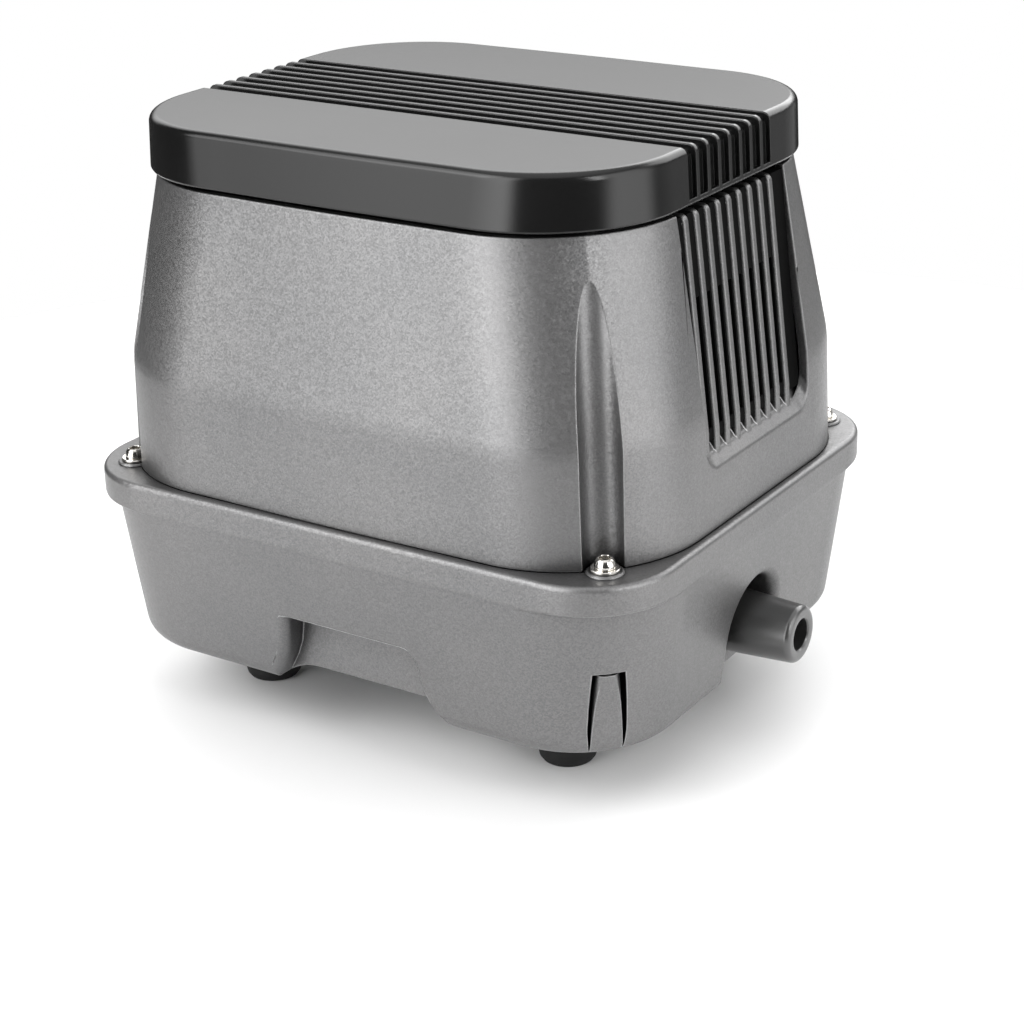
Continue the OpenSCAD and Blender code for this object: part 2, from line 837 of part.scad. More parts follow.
module clamp_discs() {
  color(alloy) for (s = [0, 1]) mirror([s, 0, 0]) difference() {
    union() {
      bar_x(disc_r, 48.2, 50.65);
      bar_x(5.5, 39.1, 48.3);
      bar_x(disc_r, 52.35, 54.3);
    }
    bar_x(shaft_r + tight, 39, 60);
  }
}

module stud_nuts() {
  color(steel) for (s = [0, 1]) mirror([s, 0, 0]) difference() {
    translate([54.35, 0, motor_z]) rotate([0, 90, 0]) cylinder(r = 5.6, h = 4.2, $fn = 6);
    bar_x(shaft_r + tight, 54, 60);
  }
}

module diaphragm() {
  rim_r = diaphragm_d / 2;
  roll_r = 19.5;
  roll = 4.6;
  color(soft_black) translate([50.7, 0, motor_z]) rotate([0, 90, 0]) rotate_extrude() {
    difference() {
      union() {
        translate([shaft_r + 0.1, 0]) square([rim_r - 5 - shaft_r, 1.6]);
        translate([roll_r, 0]) circle(roll);
        translate([rim_r - 6, -0.65]) square([6 - tight, 2.9]);
      }
      translate([roll_r, 0]) circle(roll - 1.5);
      translate([roll_r - 9, -6]) square([14.5, 6]);
    }
  }
}

module diaphragm_right() { diaphragm(); }
module diaphragm_left() { on_left() diaphragm(); }

module head_bolts(r, x0, x1) {
  for (y = [-1, 1], z = [-1, 1]) bar_x(r, x0, x1, y * bolt_at, motor_z + z * bolt_at);
}

module pump_head() {
  color(nylon) difference() {
    block([plate_out, -head_half, motor_z - head_half], [head_out, head_half, motor_z + head_half]);
    bar_x(diaphragm_d / m4_r + tight, plate_out - 1, plate_out + 3);
    bar_x(25.5, plate_out, head_out + 1);
    head_bolts(m4_r + slack, plate_out - 1, head_out + 1);
  }
}

module pump_head_right() { pump_head(); }
module pump_head_left() { on_left() pump_head(); }

module valve_plate() {
  color(alloy) difference() {
    block([head_out, -cover_half, motor_z - cover_half], [valve_out, cover_half, motor_z + cover_half]);
    for (y = [-1, 1], z = [-1, 1]) {
      bar_x(port_r, head_out - 1, valve_out + 1, y * port_y, motor_z + z * port_z);
    }
    head_bolts(m4_r + slack, head_out - 1, valve_out + 1);
  }
}

module valve_plate_right() { valve_plate(); }
module valve_plate_left() { on_left() valve_plate(); }

module flap(x0, y0) {
  color(soft_black) block([x0, y0, motor_z - 10], [x0 + flap_t, y0 + flap_w, motor_z + 10]);
}

module intake_flap() { flap(head_out - flap_t, -flap_root); }
module exhaust_flap() { flap(valve_out, flap_root - flap_w); }
module intake_flap_right() { intake_flap(); }
module intake_flap_left() { on_left() intake_flap(); }
module exhaust_flap_right() { exhaust_flap(); }
module exhaust_flap_left() { on_left() exhaust_flap(); }

module head_cover() {
  top = motor_z + cover_half;
  gallery = 24;
  color(nylon) difference() {
    union() {
      block([valve_out, -cover_half, motor_z - cover_half], [cover_out, cover_half, top]);
      translate([spigot_x, spigot_y, plate_z + plate_t + 7]) {
        cylinder(r = spigot_r, h = motor_z - cover_half - plate_z - plate_t - 6);
      }
    }
    for (y = [-gallery, 2]) {
      block([valve_out - 1, y, motor_z - gallery], [cover_out - 3, y + gallery - 2, motor_z + gallery]);
    }
    block([valve_out + 2, -gallery, motor_z], [cover_out - 5, -6, top + 1]);
    translate([spigot_x, spigot_y, plate_z]) cylinder(r = port_r, h = motor_z - plate_z - gallery + 1);
    head_bolts(m4_r + slack, valve_out - 1, cover_out + 1);
  }
}

module head_cover_right() { head_cover(); }
module head_cover_left() { on_left() head_cover(); }

module head_screws() {
  color(steel) for (s = [0, 1]) mirror([s, 0, 0]) {
    head_bolts(m4_r, plate_in + 1, cover_out);
    head_bolts(3.5, cover_out, cover_out + 3);
  }
}

module air_hose() {
  z0 = plate_z + plate_t + 0.6;
  color(soft_black) translate([spigot_x, spigot_y, z0]) difference() {
    cylinder(r = 8, h = motor_z - cover_half - z0 - 0.6);
    translate([0, 0, -1]) cylinder(r = spigot_r + tight, h = 30);
  }
}

module air_hose_right() { air_hose(); }
module air_hose_left() { on_left() air_hose(); }

// Electrical parts

module terminal_block() {
  z0 = plate_z + plate_t;
  color(nylon) difference() {
    block([-20, 57, z0], [6, 71, z0 + 12]);
    for (x = [-15, -7, 1]) {
      translate([x, 61, z0 + 4]) cylinder(r = 2.2, h = 9);
      block([x - 2.5, 66, z0 + 4], [x + 2.5, 72, z0 + 9]);
    }
  }
}

module inner_leads() {
  top = motor_z + 31;
  z0 = plate_z + plate_t + 6.5;
  coil_top = motor_z + coil_half_h + 1.6;
  coil_y = 18;
  lead_r = 0.9;
  color("firebrick") {
    for (x = [-15, -7]) {
      wire([[x, 68, z0], [x, 73, z0], [x, 73, top - 30], [x, 55, top],
            [x, coil_y, top], [x, coil_y, coil_top]], lead_r);
    }
    wire([[1, 68, z0], [1, 74, z0], [1, 74, top - 26], [1, 55, top + 3],
          [1, -coil_y, top + 3], [1, -coil_y, coil_top]], lead_r);
  }
}

module cord_grommet() {
  inner = foot_b - wall - 1;
  color(soft_black) translate([grommet_x, 0, grommet_z]) rotate([-90, 0, 0]) difference() {
    union() {
      translate([0, 0, inner - 2.5]) cylinder(r = 8.5, h = 2.4);
      translate([0, 0, inner - 1]) cylinder(r = 5.95, h = boss_y - inner + 2);
      translate([0, 0, boss_y + 0.1]) cylinder(r = 9, h = 2.6);
      translate([0, 0, boss_y + 2]) cylinder(r1 = 6.6, r2 = 4.6, h = 10);
    }
    translate([0, 0, inner - 4]) cylinder(r = cord_r + tight, h = 40);
  }
}

module power_cord() {
  start_y = foot_b - 12;
  bend_y = cord_y - cord_bend;
  bend_z = grommet_z - cord_bend;
  low_z = cord_floor_z + cord_bend;
  color(soft_black) {
    translate([grommet_x, start_y, grommet_z]) rotate([-90, 0, 0]) {
      cylinder(r = cord_r, h = bend_y - start_y);
    }
    translate([grommet_x, bend_y, bend_z]) rotate([90, 0, 90]) {
      rotate_extrude(angle = 90) translate([cord_bend, 0]) circle(cord_r);
    }
    translate([grommet_x, cord_y, low_z]) cylinder(r = cord_r, h = bend_z - low_z);
    translate([grommet_x + cord_bend, cord_y, low_z]) rotate([0, 180, 0]) rotate([90, 0, 0]) {
      rotate_extrude(angle = 90) translate([cord_bend, 0]) circle(cord_r);
    }
    bar_x(cord_r, grommet_x + cord_bend, plug_x0 + 6, cord_y, cord_floor_z);
  }
}

module plug_body() {
  color(soft_black) difference() {
    union() {
      bar_x(cord_r + 2, plug_x0 - 10, plug_x0 + 1, cord_y, cord_r + 2);
      block([plug_x0, cord_y - plug_half_w, 0.2], [plug_x0 + plug_l, cord_y + plug_half_w, plug_h]);
    }
    bar_x(cord_r + tight, plug_x0 - 11, plug_x0 + 6.1, cord_y, cord_floor_z);
    for (s = [-1, 1]) plug_blade(s, tight);
  }
}

module plug_blade(side, grow) {
  y = cord_y + side * 6.35;
  z = plug_h / 2;
  block([plug_x0 + plug_l - 6 - grow, y - 0.75 - grow, z - 3.2 - grow],
        [plug_x0 + plug_l + blade_l, y + 0.75 + grow, z + 3.2 + grow]);
}

module plug_pins() {
  color("goldenrod") for (s = [-1, 1]) plug_blade(s, 0);
}

translate(row_shift) lid();
translate(row_shift) filter_foam();
translate(row_shift) upper_housing();
translate(row_shift) vent_liner_right();
translate(row_shift) vent_liner_left();
translate(row_shift) housing_screws();
translate(row_shift) housing_washers();
translate(row_shift) housing_gasket();
translate(row_shift) lower_housing();
translate(row_shift) tank_gasket();
translate(row_shift) tank_plate();
translate(row_shift) tank_screws();
translate(row_shift) rubber_feet();
translate(row_shift) foot_screws();
translate(row_shift) outlet_nipple();
translate(row_shift) outlet_sleeve();
translate(row_shift) isolators();
translate(row_shift) isolator_screws();
translate(row_shift) motor_frame();
translate(row_shift) stator_core_front();
translate(row_shift) stator_core_rear();
translate(row_shift) bobbin_front();
translate(row_shift) bobbin_rear();
translate(row_shift) coil_front();
translate(row_shift) coil_rear();
translate(row_shift) core_screws();
translate(row_shift) magnet_carrier();
translate(row_shift) magnets();
translate(row_shift) armature_studs();
translate(row_shift) clamp_discs();
translate(row_shift) stud_nuts();
translate(row_shift) diaphragm_right();
translate(row_shift) diaphragm_left();
translate(row_shift) pump_head_right();
translate(row_shift) pump_head_left();
translate(row_shift) valve_plate_right();
translate(row_shift) valve_plate_left();
translate(row_shift) intake_flap_right();
translate(row_shift) intake_flap_left();
translate(row_shift) exhaust_flap_right();
translate(row_shift) exhaust_flap_left();
translate(row_shift) head_cover_right();
translate(row_shift) head_cover_left();
translate(row_shift) head_screws();
translate(row_shift) air_hose_right();
translate(row_shift) air_hose_left();
translate(row_shift) terminal_block();
translate(row_shift) inner_leads();
translate(row_shift) cord_grommet();
translate(row_shift) power_cord();
translate(row_shift) plug_body();
translate(row_shift) plug_pins();
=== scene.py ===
import json
import math

import bmesh
import bpy
import numpy as np
from mathutils import Matrix, Vector


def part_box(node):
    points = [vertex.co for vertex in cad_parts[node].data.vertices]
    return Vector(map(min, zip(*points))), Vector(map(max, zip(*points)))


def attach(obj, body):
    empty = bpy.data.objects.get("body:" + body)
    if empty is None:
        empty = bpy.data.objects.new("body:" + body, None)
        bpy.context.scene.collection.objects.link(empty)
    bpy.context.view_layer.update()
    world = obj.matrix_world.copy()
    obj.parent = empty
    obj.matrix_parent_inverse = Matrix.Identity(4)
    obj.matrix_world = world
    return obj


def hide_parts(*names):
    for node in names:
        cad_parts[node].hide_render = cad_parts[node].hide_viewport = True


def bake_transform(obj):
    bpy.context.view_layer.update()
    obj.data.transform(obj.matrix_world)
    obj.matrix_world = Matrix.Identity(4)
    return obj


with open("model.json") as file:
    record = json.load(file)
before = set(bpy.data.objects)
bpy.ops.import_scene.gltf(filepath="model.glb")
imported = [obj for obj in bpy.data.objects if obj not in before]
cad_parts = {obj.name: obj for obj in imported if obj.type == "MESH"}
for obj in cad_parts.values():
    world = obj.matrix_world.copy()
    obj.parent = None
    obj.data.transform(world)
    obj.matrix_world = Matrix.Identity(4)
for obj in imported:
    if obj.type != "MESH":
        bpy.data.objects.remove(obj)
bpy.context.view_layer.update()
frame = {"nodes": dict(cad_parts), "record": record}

# Lengths below are millimetres, measured from the middle of the casing at floor level.
MM = 1000.0
BODY = "housing"


def node_box(node):
    lo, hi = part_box(node)
    return lo * MM, hi * MM


base_lo, base_hi = node_box("lower_housing")
shell_lo, shell_hi = node_box("upper_housing")
lid_lo, lid_hi = node_box("lid")
CENTRE = np.array([(base_lo.x + base_hi.x) / 2, (base_lo.y + base_hi.y) / 2, 0.0])


def local_box(node):
    """Corners of a CAD node's box, measured from the casing's middle."""
    return [np.array(corner) - CENTRE for corner in node_box(node)]


FOOT_Z = base_lo.z                  # lower edge of the base
FLANGE_Z = base_hi.z                # top of the base's flange
HOUSING_Z = shell_hi.z              # top of the upper housing
BREAK_Z = FLANGE_Z + 35.6           # soft line round the housing
LID_Z = HOUSING_Z + 1.5
LID_TOP = lid_hi.z

# A and B are half widths across and from front to back.
FLANGE_A = (base_hi.x - base_lo.x) / 2
FLANGE_B = (base_hi.y - base_lo.y) / 2
FOOT_A = (shell_hi.x - shell_lo.x) / 2
FOOT_B = FLANGE_B - 3.3
BREAK_A, BREAK_B = FOOT_A - 1.6, FOOT_B + 0.4
TOP_A, TOP_B = BREAK_A - 9.6, BREAK_B - 8.1
HOUSING_R = 45.0                    # corner radius of the upper housing
WALL = 3.0
DECK_Z = HOUSING_Z - 16.5           # shelf under the filter

SIDES = (("right", 1), ("left", -1))
CORNERS = [(sx, sy) for sx in (1, -1) for sy in (1, -1)]
SCREW_X, SCREW_Y = 87.6, 70.5       # corner screws
FEET_X, FEET_Y = 58.0, 44.3
EAR_Z = FLANGE_Z + 0.8              # seat of the corner screws' washers
SCOOP_R = 6.4                       # hollow over each corner screw
SCOOP_TILT = math.tan(math.radians(3.9))
SCOOP_EDGE = 0.12                   # radius of the scoop's edge

VENT_Y = (-31.5, 34.5)              # ends of the side grille
VENT_Z = FLANGE_Z + 18.5            # its sill, at the wall's face
FIN_COUNT = 9
FIN_PITCH = 6.5
FIN_T = 3.0
FIN_DEPTH = 3.0
FIN_BEND_Z = BREAK_Z - 7            # the fins stand upright below this height
FIN_SET = 2.4                       # distance of the fins' lower part behind the wall's face
SILL_SLOPE = 1.2

OUTLET_Z = 37.0
OUTLET_BORE = 5.0
RECESS_X, RECESS_R = 88.0, 14.5     # floor and radius of the hollow round the outlet
CORD_X, CORD_Z = -45.0, 93.0        # where the cord leaves the back wall
CORD_R = 3.35
BOSS_Y = FOOT_B + 1.9               # face of the pad round the cord

CORNER_STEPS = 20
FRONT_STEPS = 14
SIDE_STEPS = 6


# Mesh helpers

def round_corner(a, b, r):
    """Points of the corner in the first quadrant, from the side to the back."""
    t = np.linspace(0, math.pi / 2, CORNER_STEPS + 1)
    return np.stack([a - r + r * np.cos(t), b - r + r * np.sin(t)], 1)


def outline(a, b, r, crown=0.0, quarter=None):
    """Closed rounded rectangle, counter-clockwise, with its front and back crowned."""
    quarter = round_corner(a, b, r) if quarter is None else quarter
    runs = []
    for sx, sy in ((1, 1), (-1, 1), (-1, -1), (1, -1)):
        corner = quarter * (sx, sy)
        corner = corner if sx * sy > 0 else corner[::-1]
        runs.append(corner)
        if sx * sy > 0:
            t = np.linspace(-1, 1, FRONT_STEPS + 1)[1:-1]
            x = -t * sx * quarter[-1][0]
            runs.append(np.stack([x, sy * (quarter[-1][1] + crown * (1 - t * t) ** 2)], 1))
        else:
            t = np.linspace(-1, 1, SIDE_STEPS + 1)[1:-1]
            runs.append(np.stack([sx * quarter[0][0] + 0 * t, -t * sy * quarter[0][1]], 1))
    return np.concatenate(runs)


def at_height(points, z):
    return np.column_stack([points, np.full(len(points), z)])


def at_y(section, y):
    """A section of (x, z) points, set across Y."""
    return np.insert(np.array(section), 1, y, axis=1)


def loft(rings, loop=False):
    """Vertices and faces of a skin through equal rings, capped or closed on itself."""
    count, size = len(rings), len(rings[0])
    faces = []
    for k in range(count if loop else count - 1):
        low, high = k * size, (k + 1) % count * size
        for i in range(size):
            j = (i + 1) % size
            faces.append((low + i, low + j, high + j, high + i))
    if not loop:
        faces.append(tuple(range(size - 1, -1, -1)))
        faces.append(tuple(range((count - 1) * size, count * size)))
    return np.concatenate(rings), faces


def lathe(profile, steps=48, loop=False):
    """Skin turned about Z from (radius, height) points; a zero radius closes an end."""
    t = np.linspace(0, 2 * math.pi, steps, endpoint=False)
    rings = [np.column_stack([r * np.cos(t), r * np.sin(t), np.full(steps, z)]) for r, z in profile]
    return loft(rings, loop)


def along_x(part):
    """Turns a part built about Z so that it lies along X."""
    points, faces = part
    return points[:, [2, 0, 1]], faces


def on_back_wall(part):
    """Turns a part built about Z along Y and sets it where the cord comes out."""
    points, faces = part
    return points[:, [0, 2, 1]] + (CORD_X, 0, CORD_Z), faces


def moved(part, offset):
    points, faces = part
    return points + offset, faces


def on_side(part, side):
    """The part as built for side 1, and its mirror image for side -1."""
    points, faces = part
    return (points, faces) if side > 0 else (points * (-1, 1, 1), [f[::-1] for f in faces])


def at_corners(part, x, y, z=0.0):
    return [moved(part, (sx * x, sy * y, z)) for sx, sy in CORNERS]


def fillet(r, start, end, steps=5):
    """Points of an arc of radius r about the origin, angles in degrees."""
    t = np.radians(np.linspace(start, end, steps + 1))
    return np.stack([r * np.cos(t), r * np.sin(t)], 1)


def linked(name, data):
    thing = bpy.data.objects.new(name, data)
    bpy.context.collection.objects.link(thing)
    return thing


def smooth(mesh, angle=32):
    mesh.polygons.foreach_set("use_smooth", [True] * len(mesh.polygons))
    mesh.set_sharp_from_angle(angle=math.radians(angle))


def clean(mesh):
    """Welds double points and turns every face outwards."""
    bm = bmesh.new()
    bm.from_mesh(mesh)
    bmesh.ops.remove_doubles(bm, verts=bm.verts, dist=2e-6)
    bmesh.ops.dissolve_degenerate(bm, edges=bm.edges, dist=1e-6)
    bmesh.ops.recalc_face_normals(bm, faces=bm.faces)
    bm.to_mesh(mesh)
    bm.free()


def build(name, parts):
    """Object made of parts given in millimetres about the casing's middle."""
    points, faces, start = [], [], 0
    for part_points, part_faces in parts:
        points.append(part_points)
        faces += [tuple(i + start for i in f) for f in part_faces]
        start += len(part_points)
    mesh = bpy.data.meshes.new(name)
    mesh.from_pydata(((np.concatenate(points) + CENTRE) / MM).tolist(), [], faces)
    clean(mesh)
    smooth(mesh)
    return linked(name, mesh)


def finished(thing, slot, node, body=BODY, look=None, angle=32):
    """Gives a piece its material and its body, and hides the CAD node that it stands for."""
    thing.data.materials.clear()
    thing.data.materials.append(materials[look or slot])
    for polygon in thing.data.polygons:
        polygon.material_index = 0
    smooth(thing.data, angle)
    shade = thing.modifiers.new("normals", "WEIGHTED_NORMAL")
    shade.keep_sharp = True
    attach(thing, body)
    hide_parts(node)


def cut(thing, parts, edge=0.0, where=None):
    """Cuts parts out of a piece and rounds the edges that the cut leaves on its skin."""
    tool = build("cutter", parts)
    for mesh, index in ((thing.data, 0), (tool.data, 1)):
        mesh.materials.clear()
        for _ in range(2):
            mesh.materials.append(None)
        mesh.polygons.foreach_set("material_index", [index] * len(mesh.polygons))
    boolean = thing.modifiers.new("cut", "BOOLEAN")
    boolean.object = tool
    boolean.solver = "EXACT"
    depsgraph = bpy.context.evaluated_depsgraph_get()
    result = bpy.data.meshes.new_from_object(thing.evaluated_get(depsgraph))
    thing.modifiers.remove(boolean)
    bpy.data.objects.remove(tool)
    thing.data = result
    if edge:
        round_cut_edges(result, edge / MM, where)


def round_cut_edges(mesh, width, where):
    """Rounds the edges between two face materials, which mark the skin and the cut."""
    bm = bmesh.new()
    bm.from_mesh(mesh)
    bmesh.ops.remove_doubles(bm, verts=bm.verts, dist=1e-5)
    edges = []
    for e in bm.edges:
        if len(e.link_faces) != 2:
            continue
        one, two = e.link_faces
        if one.material_index == two.material_index or e.calc_face_angle(0) < 0.4:
            continue
        middle = (e.verts[0].co + e.verts[1].co) / 2 * MM - Vector(CENTRE)
        if where is None or where(middle):
            edges.append(e)
    bmesh.ops.bevel(bm, geom=edges, offset=width, offset_type="OFFSET", segments=3,
                    profile=0.5, affect="EDGES", clamp_overlap=False)
    bm.to_mesh(mesh)
    bm.free()


def merge_flat(mesh, test):
    """Dissolves the edges between flat faces that pass the test, so that a cut stays clean."""
    bm = bmesh.new()
    bm.from_mesh(mesh)
    bm.faces.ensure_lookup_table()
    inside = {f for f in bm.faces if test(f.calc_center_median() * MM - Vector(CENTRE), f.normal)}
    edges = [e for e in bm.edges if len(e.link_faces) == 2 and all(f in inside for f in e.link_faces)]
    verts = list({v for e in edges for v in e.verts})
    bmesh.ops.dissolve_limit(bm, angle_limit=0.0015, use_dissolve_boundaries=False,
                             verts=verts, edges=edges)
    bm.to_mesh(mesh)
    bm.free()


# Materials

class Nodes:
    """Short ways to add nodes to a tree; i0, i1 and so on stand for a node's inputs by number."""

    def __init__(self, tree):
        self.tree = tree

    def add(self, kind, settings=None, **inputs):
        node = self.tree.nodes.new("ShaderNode" + kind)
        for key, value in (settings or {}).items():
            setattr(node, key, value)
        for key, value in inputs.items():
            self.feed(node, key.replace("_", " "), value)
        return node

    def feed(self, node, key, value):
        by_number = key[0] == "i" and key[1:].isdigit()
        socket = node.inputs[int(key[1:]) if by_number else key]
        if isinstance(value, bpy.types.NodeSocket):
            self.tree.links.new(value, socket)
        else:
            socket.default_value = value

    def span(self, value, low, high, from_low=0.0, from_high=1.0, curve="LINEAR"):
        node = self.add("MapRange", {"interpolation_type": curve}, Value=value, From_Min=from_low,
                        From_Max=from_high, To_Min=low, To_Max=high)
        return node.outputs["Result"]

    def window(self, value, low, high, soft):
        """1 between low and high, fading to 0 over a width either side."""
        rise = self.span(value, 0, 1, low - soft, low + soft, "SMOOTHSTEP")
        fall = self.span(value, 1, 0, high - soft, high + soft, "SMOOTHSTEP")
        return self.math("MULTIPLY", rise, fall)

    def math(self, operation, one, two=0.0):
        return self.add("Math", {"operation": operation}, i0=one, i1=two).outputs["Value"]

    def vector(self, operation, one, two=(0, 0, 0)):
        return self.add("VectorMath", {"operation": operation}, i0=one, i1=two).outputs["Vector"]

    def scaled(self, vector, factor):
        return self.add("VectorMath", {"operation": "SCALE"}, i0=vector, Scale=factor).outputs["Vector"]

    def mix(self, factor, one, two):
        node = self.add("Mix", {"data_type": "RGBA"})
        self.feed(node, "i0", factor)
        self.feed(node, "i6", one)
        self.feed(node, "i7", two)
        return node.outputs[2]


class Shader(Nodes):
    """A node material with a Principled shader."""

    def __init__(self, name):
        self.material = bpy.data.materials.new(name)
        self.material.use_nodes = True
        super().__init__(self.material.node_tree)
        self.bsdf = self.tree.nodes["Principled BSDF"]
        self.place = self.add("TexCoord").outputs["Object"]

    def set(self, key, value):
        self.feed(self.bsdf, key, value)

    def noise(self, size, detail=2.0):
        """Noise whose features are about size millimetres across."""
        return self.add("TexNoise", Vector=self.place, Scale=MM / size, Detail=detail).outputs["Fac"]

    def cells(self, size):
        """Voronoi cells about size millimetres across."""
        return self.add("TexVoronoi", Vector=self.place, Scale=MM / size).outputs

    def stripes(self, direction, pitch, distortion, detail):
        settings = {"bands_direction": direction, "wave_profile": "SIN"}
        return self.add("TexWave", settings, Vector=self.place, Scale=2 * MM / pitch / math.tau,
                        Distortion=distortion, Detail=detail).outputs["Fac"]

    def bump(self, height, strength, distance, normal=None):
        node = self.add("Bump", Height=height, Strength=strength, Distance=distance / MM)
        if normal is not None:
            self.feed(node, "Normal", normal)
        return node.outputs["Normal"]

    def edges(self, radius):
        """Rounded normal, and a mask that is 1 on edges sharper than the radius."""
        bevel = self.add("Bevel", {"samples": 4}, Radius=radius / MM).outputs["Normal"]
        true = self.add("NewGeometry").outputs["Normal"]
        dot = self.add("VectorMath", {"operation": "DOT_PRODUCT"}, i0=bevel, i1=true)
        return bevel, self.span(dot.outputs["Value"], 1.0, 0.0, 0.80, 0.995)


def grey(value, tint=(1, 1, 1)):
    return (value * tint[0], value * tint[1], value * tint[2], 1)


def surface(name, shades, rough, metallic=0.0, grain=0.5, relief=0.3, edge=0.3,
            worn=None, blotch=40.0, coat=0.0, specular=0.5):
    """General finish: blotchy colour, fine grain in colour and relief, and lighter edges (on the
    sleeve, a painted highlight along its rims).
    """
    s = Shader(name)
    broad = s.noise(blotch, 3.0)
    fine = s.noise(grain, 2.0)
    shade = s.mix(s.span(broad, 0, 1, 0.3, 0.7), shades[0], shades[1])
    speckle = s.span(fine, 0.90, 1.10, 0.3, 0.7)
    colour = s.scaled(shade, speckle)
    normal, mask = s.edges(edge)
    # Edges mixed towards a lighter grey; on the sleeve this is a painted highlight.
    if worn:
        colour = s.mix(s.math("MULTIPLY", mask, worn[1]), colour, grey(worn[0]))
    s.set("Base Color", colour)
    s.set("Metallic", metallic)
    both = s.math("ADD", s.math("MULTIPLY", broad, 0.6), s.math("MULTIPLY", fine, 0.4))
    s.set("Roughness", s.span(both, rough[0], rough[1], 0.3, 0.7))
    s.set("Normal", s.bump(fine, relief, grain * 0.12, normal))
    s.set("Specular IOR Level", specular)
    if coat:
        s.set("Coat Weight", coat)
        s.set("Coat Roughness", 0.25)
    return s


def silver_paint():
    """Metallic paint on a casting: fine flakes, satin clear coat, a painted highlight on its edges and
    painted shade in its hollows.
    """
    s = Shader("silver_paint")
    flake = s.cells(0.42)["Color"]
    tilt = s.scaled(s.vector("SUBTRACT", flake, (0.5, 0.5, 0.5)), 0.11)
    rounded, mask = s.edges(0.6)
    lean = s.vector("NORMALIZE", s.vector("ADD", rounded, tilt))
    orange_peel = s.noise(1.1, 3.0)
    broad = s.noise(55.0, 3.0)
    cool, warm = grey(0.158, (1, 1, 1.01)), grey(0.180, (1.01, 1, 1))
    paint = s.mix(s.span(broad, 0, 1, 0.3, 0.7), cool, warm)
    sparkle = s.span(s.add("SeparateColor", Color=flake).outputs["Red"], 0.88, 1.14)
    paint = s.scaled(paint, sparkle)
    # Painted shade: the colour darkens where ambient occlusion finds the casting hemmed in, in hollows,
    # gaps and under ledges.
    open_air = s.add("AmbientOcclusion", {"samples": 5}, Distance=14 / MM).outputs["AO"]
    paint = s.scaled(paint, s.span(open_air, 0.2, 1.0, 0.25, 0.85))
    # Painted highlight: sharp edges are mixed towards a light grey, after the painted shade so that
    # they stay bright.
    paint = s.mix(s.math("MULTIPLY", mask, 0.75), paint, grey(0.55))
    s.set("Base Color", paint)
    s.set("Metallic", 0.80)
    s.set("Roughness", s.span(orange_peel, 0.36, 0.46, 0.3, 0.7))
    s.set("Normal", s.bump(orange_peel, 0.14, 0.05, lean))
    s.set("Coat Weight", 0.12)
    s.set("Coat Roughness", 0.3)
    return s.material


def plain(name, low, high, rough, tint=(1, 1, 1), **more):
    return surface(name, (grey(low, tint), grey(high, tint)), rough, **more).material


def wound_copper():
    """Enamelled copper wire laid in turns round the bobbin."""
    shades = grey(0.5, (1, 0.42, 0.2)), grey(0.62, (1, 0.45, 0.22))
    s = surface("copper_wire", shades, (0.25, 0.4), metallic=0.9, grain=1.5, relief=0.1)
    s.set("Normal", s.bump(s.stripes("Y", 0.7, 0.3, 1.0), 0.9, 0.35))
    return s.material


def laminated_steel():
    """Stacked sheet steel with thin dark lines between the sheets."""
    shades = grey(0.22, (1, 1, 1.05)), grey(0.30)
    s = surface("core_steel", shades, (0.35, 0.5), metallic=0.85, grain=1.0)
    s.set("Normal", s.bump(s.stripes("Z", 0.5, 0.1, 0.0), 0.7, 0.12))
    return s.material


def open_foam():
    """Reticulated filter foam with open cells."""
    s = Shader("open_foam")
    small = s.noise(0.9, 3.0)
    pores = s.span(s.cells(2.0)["Distance"], 0.0, 1.0, 0.15, 0.55)
    s.set("Base Color", s.mix(pores, grey(0.055), grey(0.012)))
    s.set("Roughness", s.span(small, 0.85, 1.0))
    s.set("Normal", s.bump(s.math("ADD", pores, small), 1.0, 0.8))
    s.set("Sheen Weight", 0.2)
    return s.material


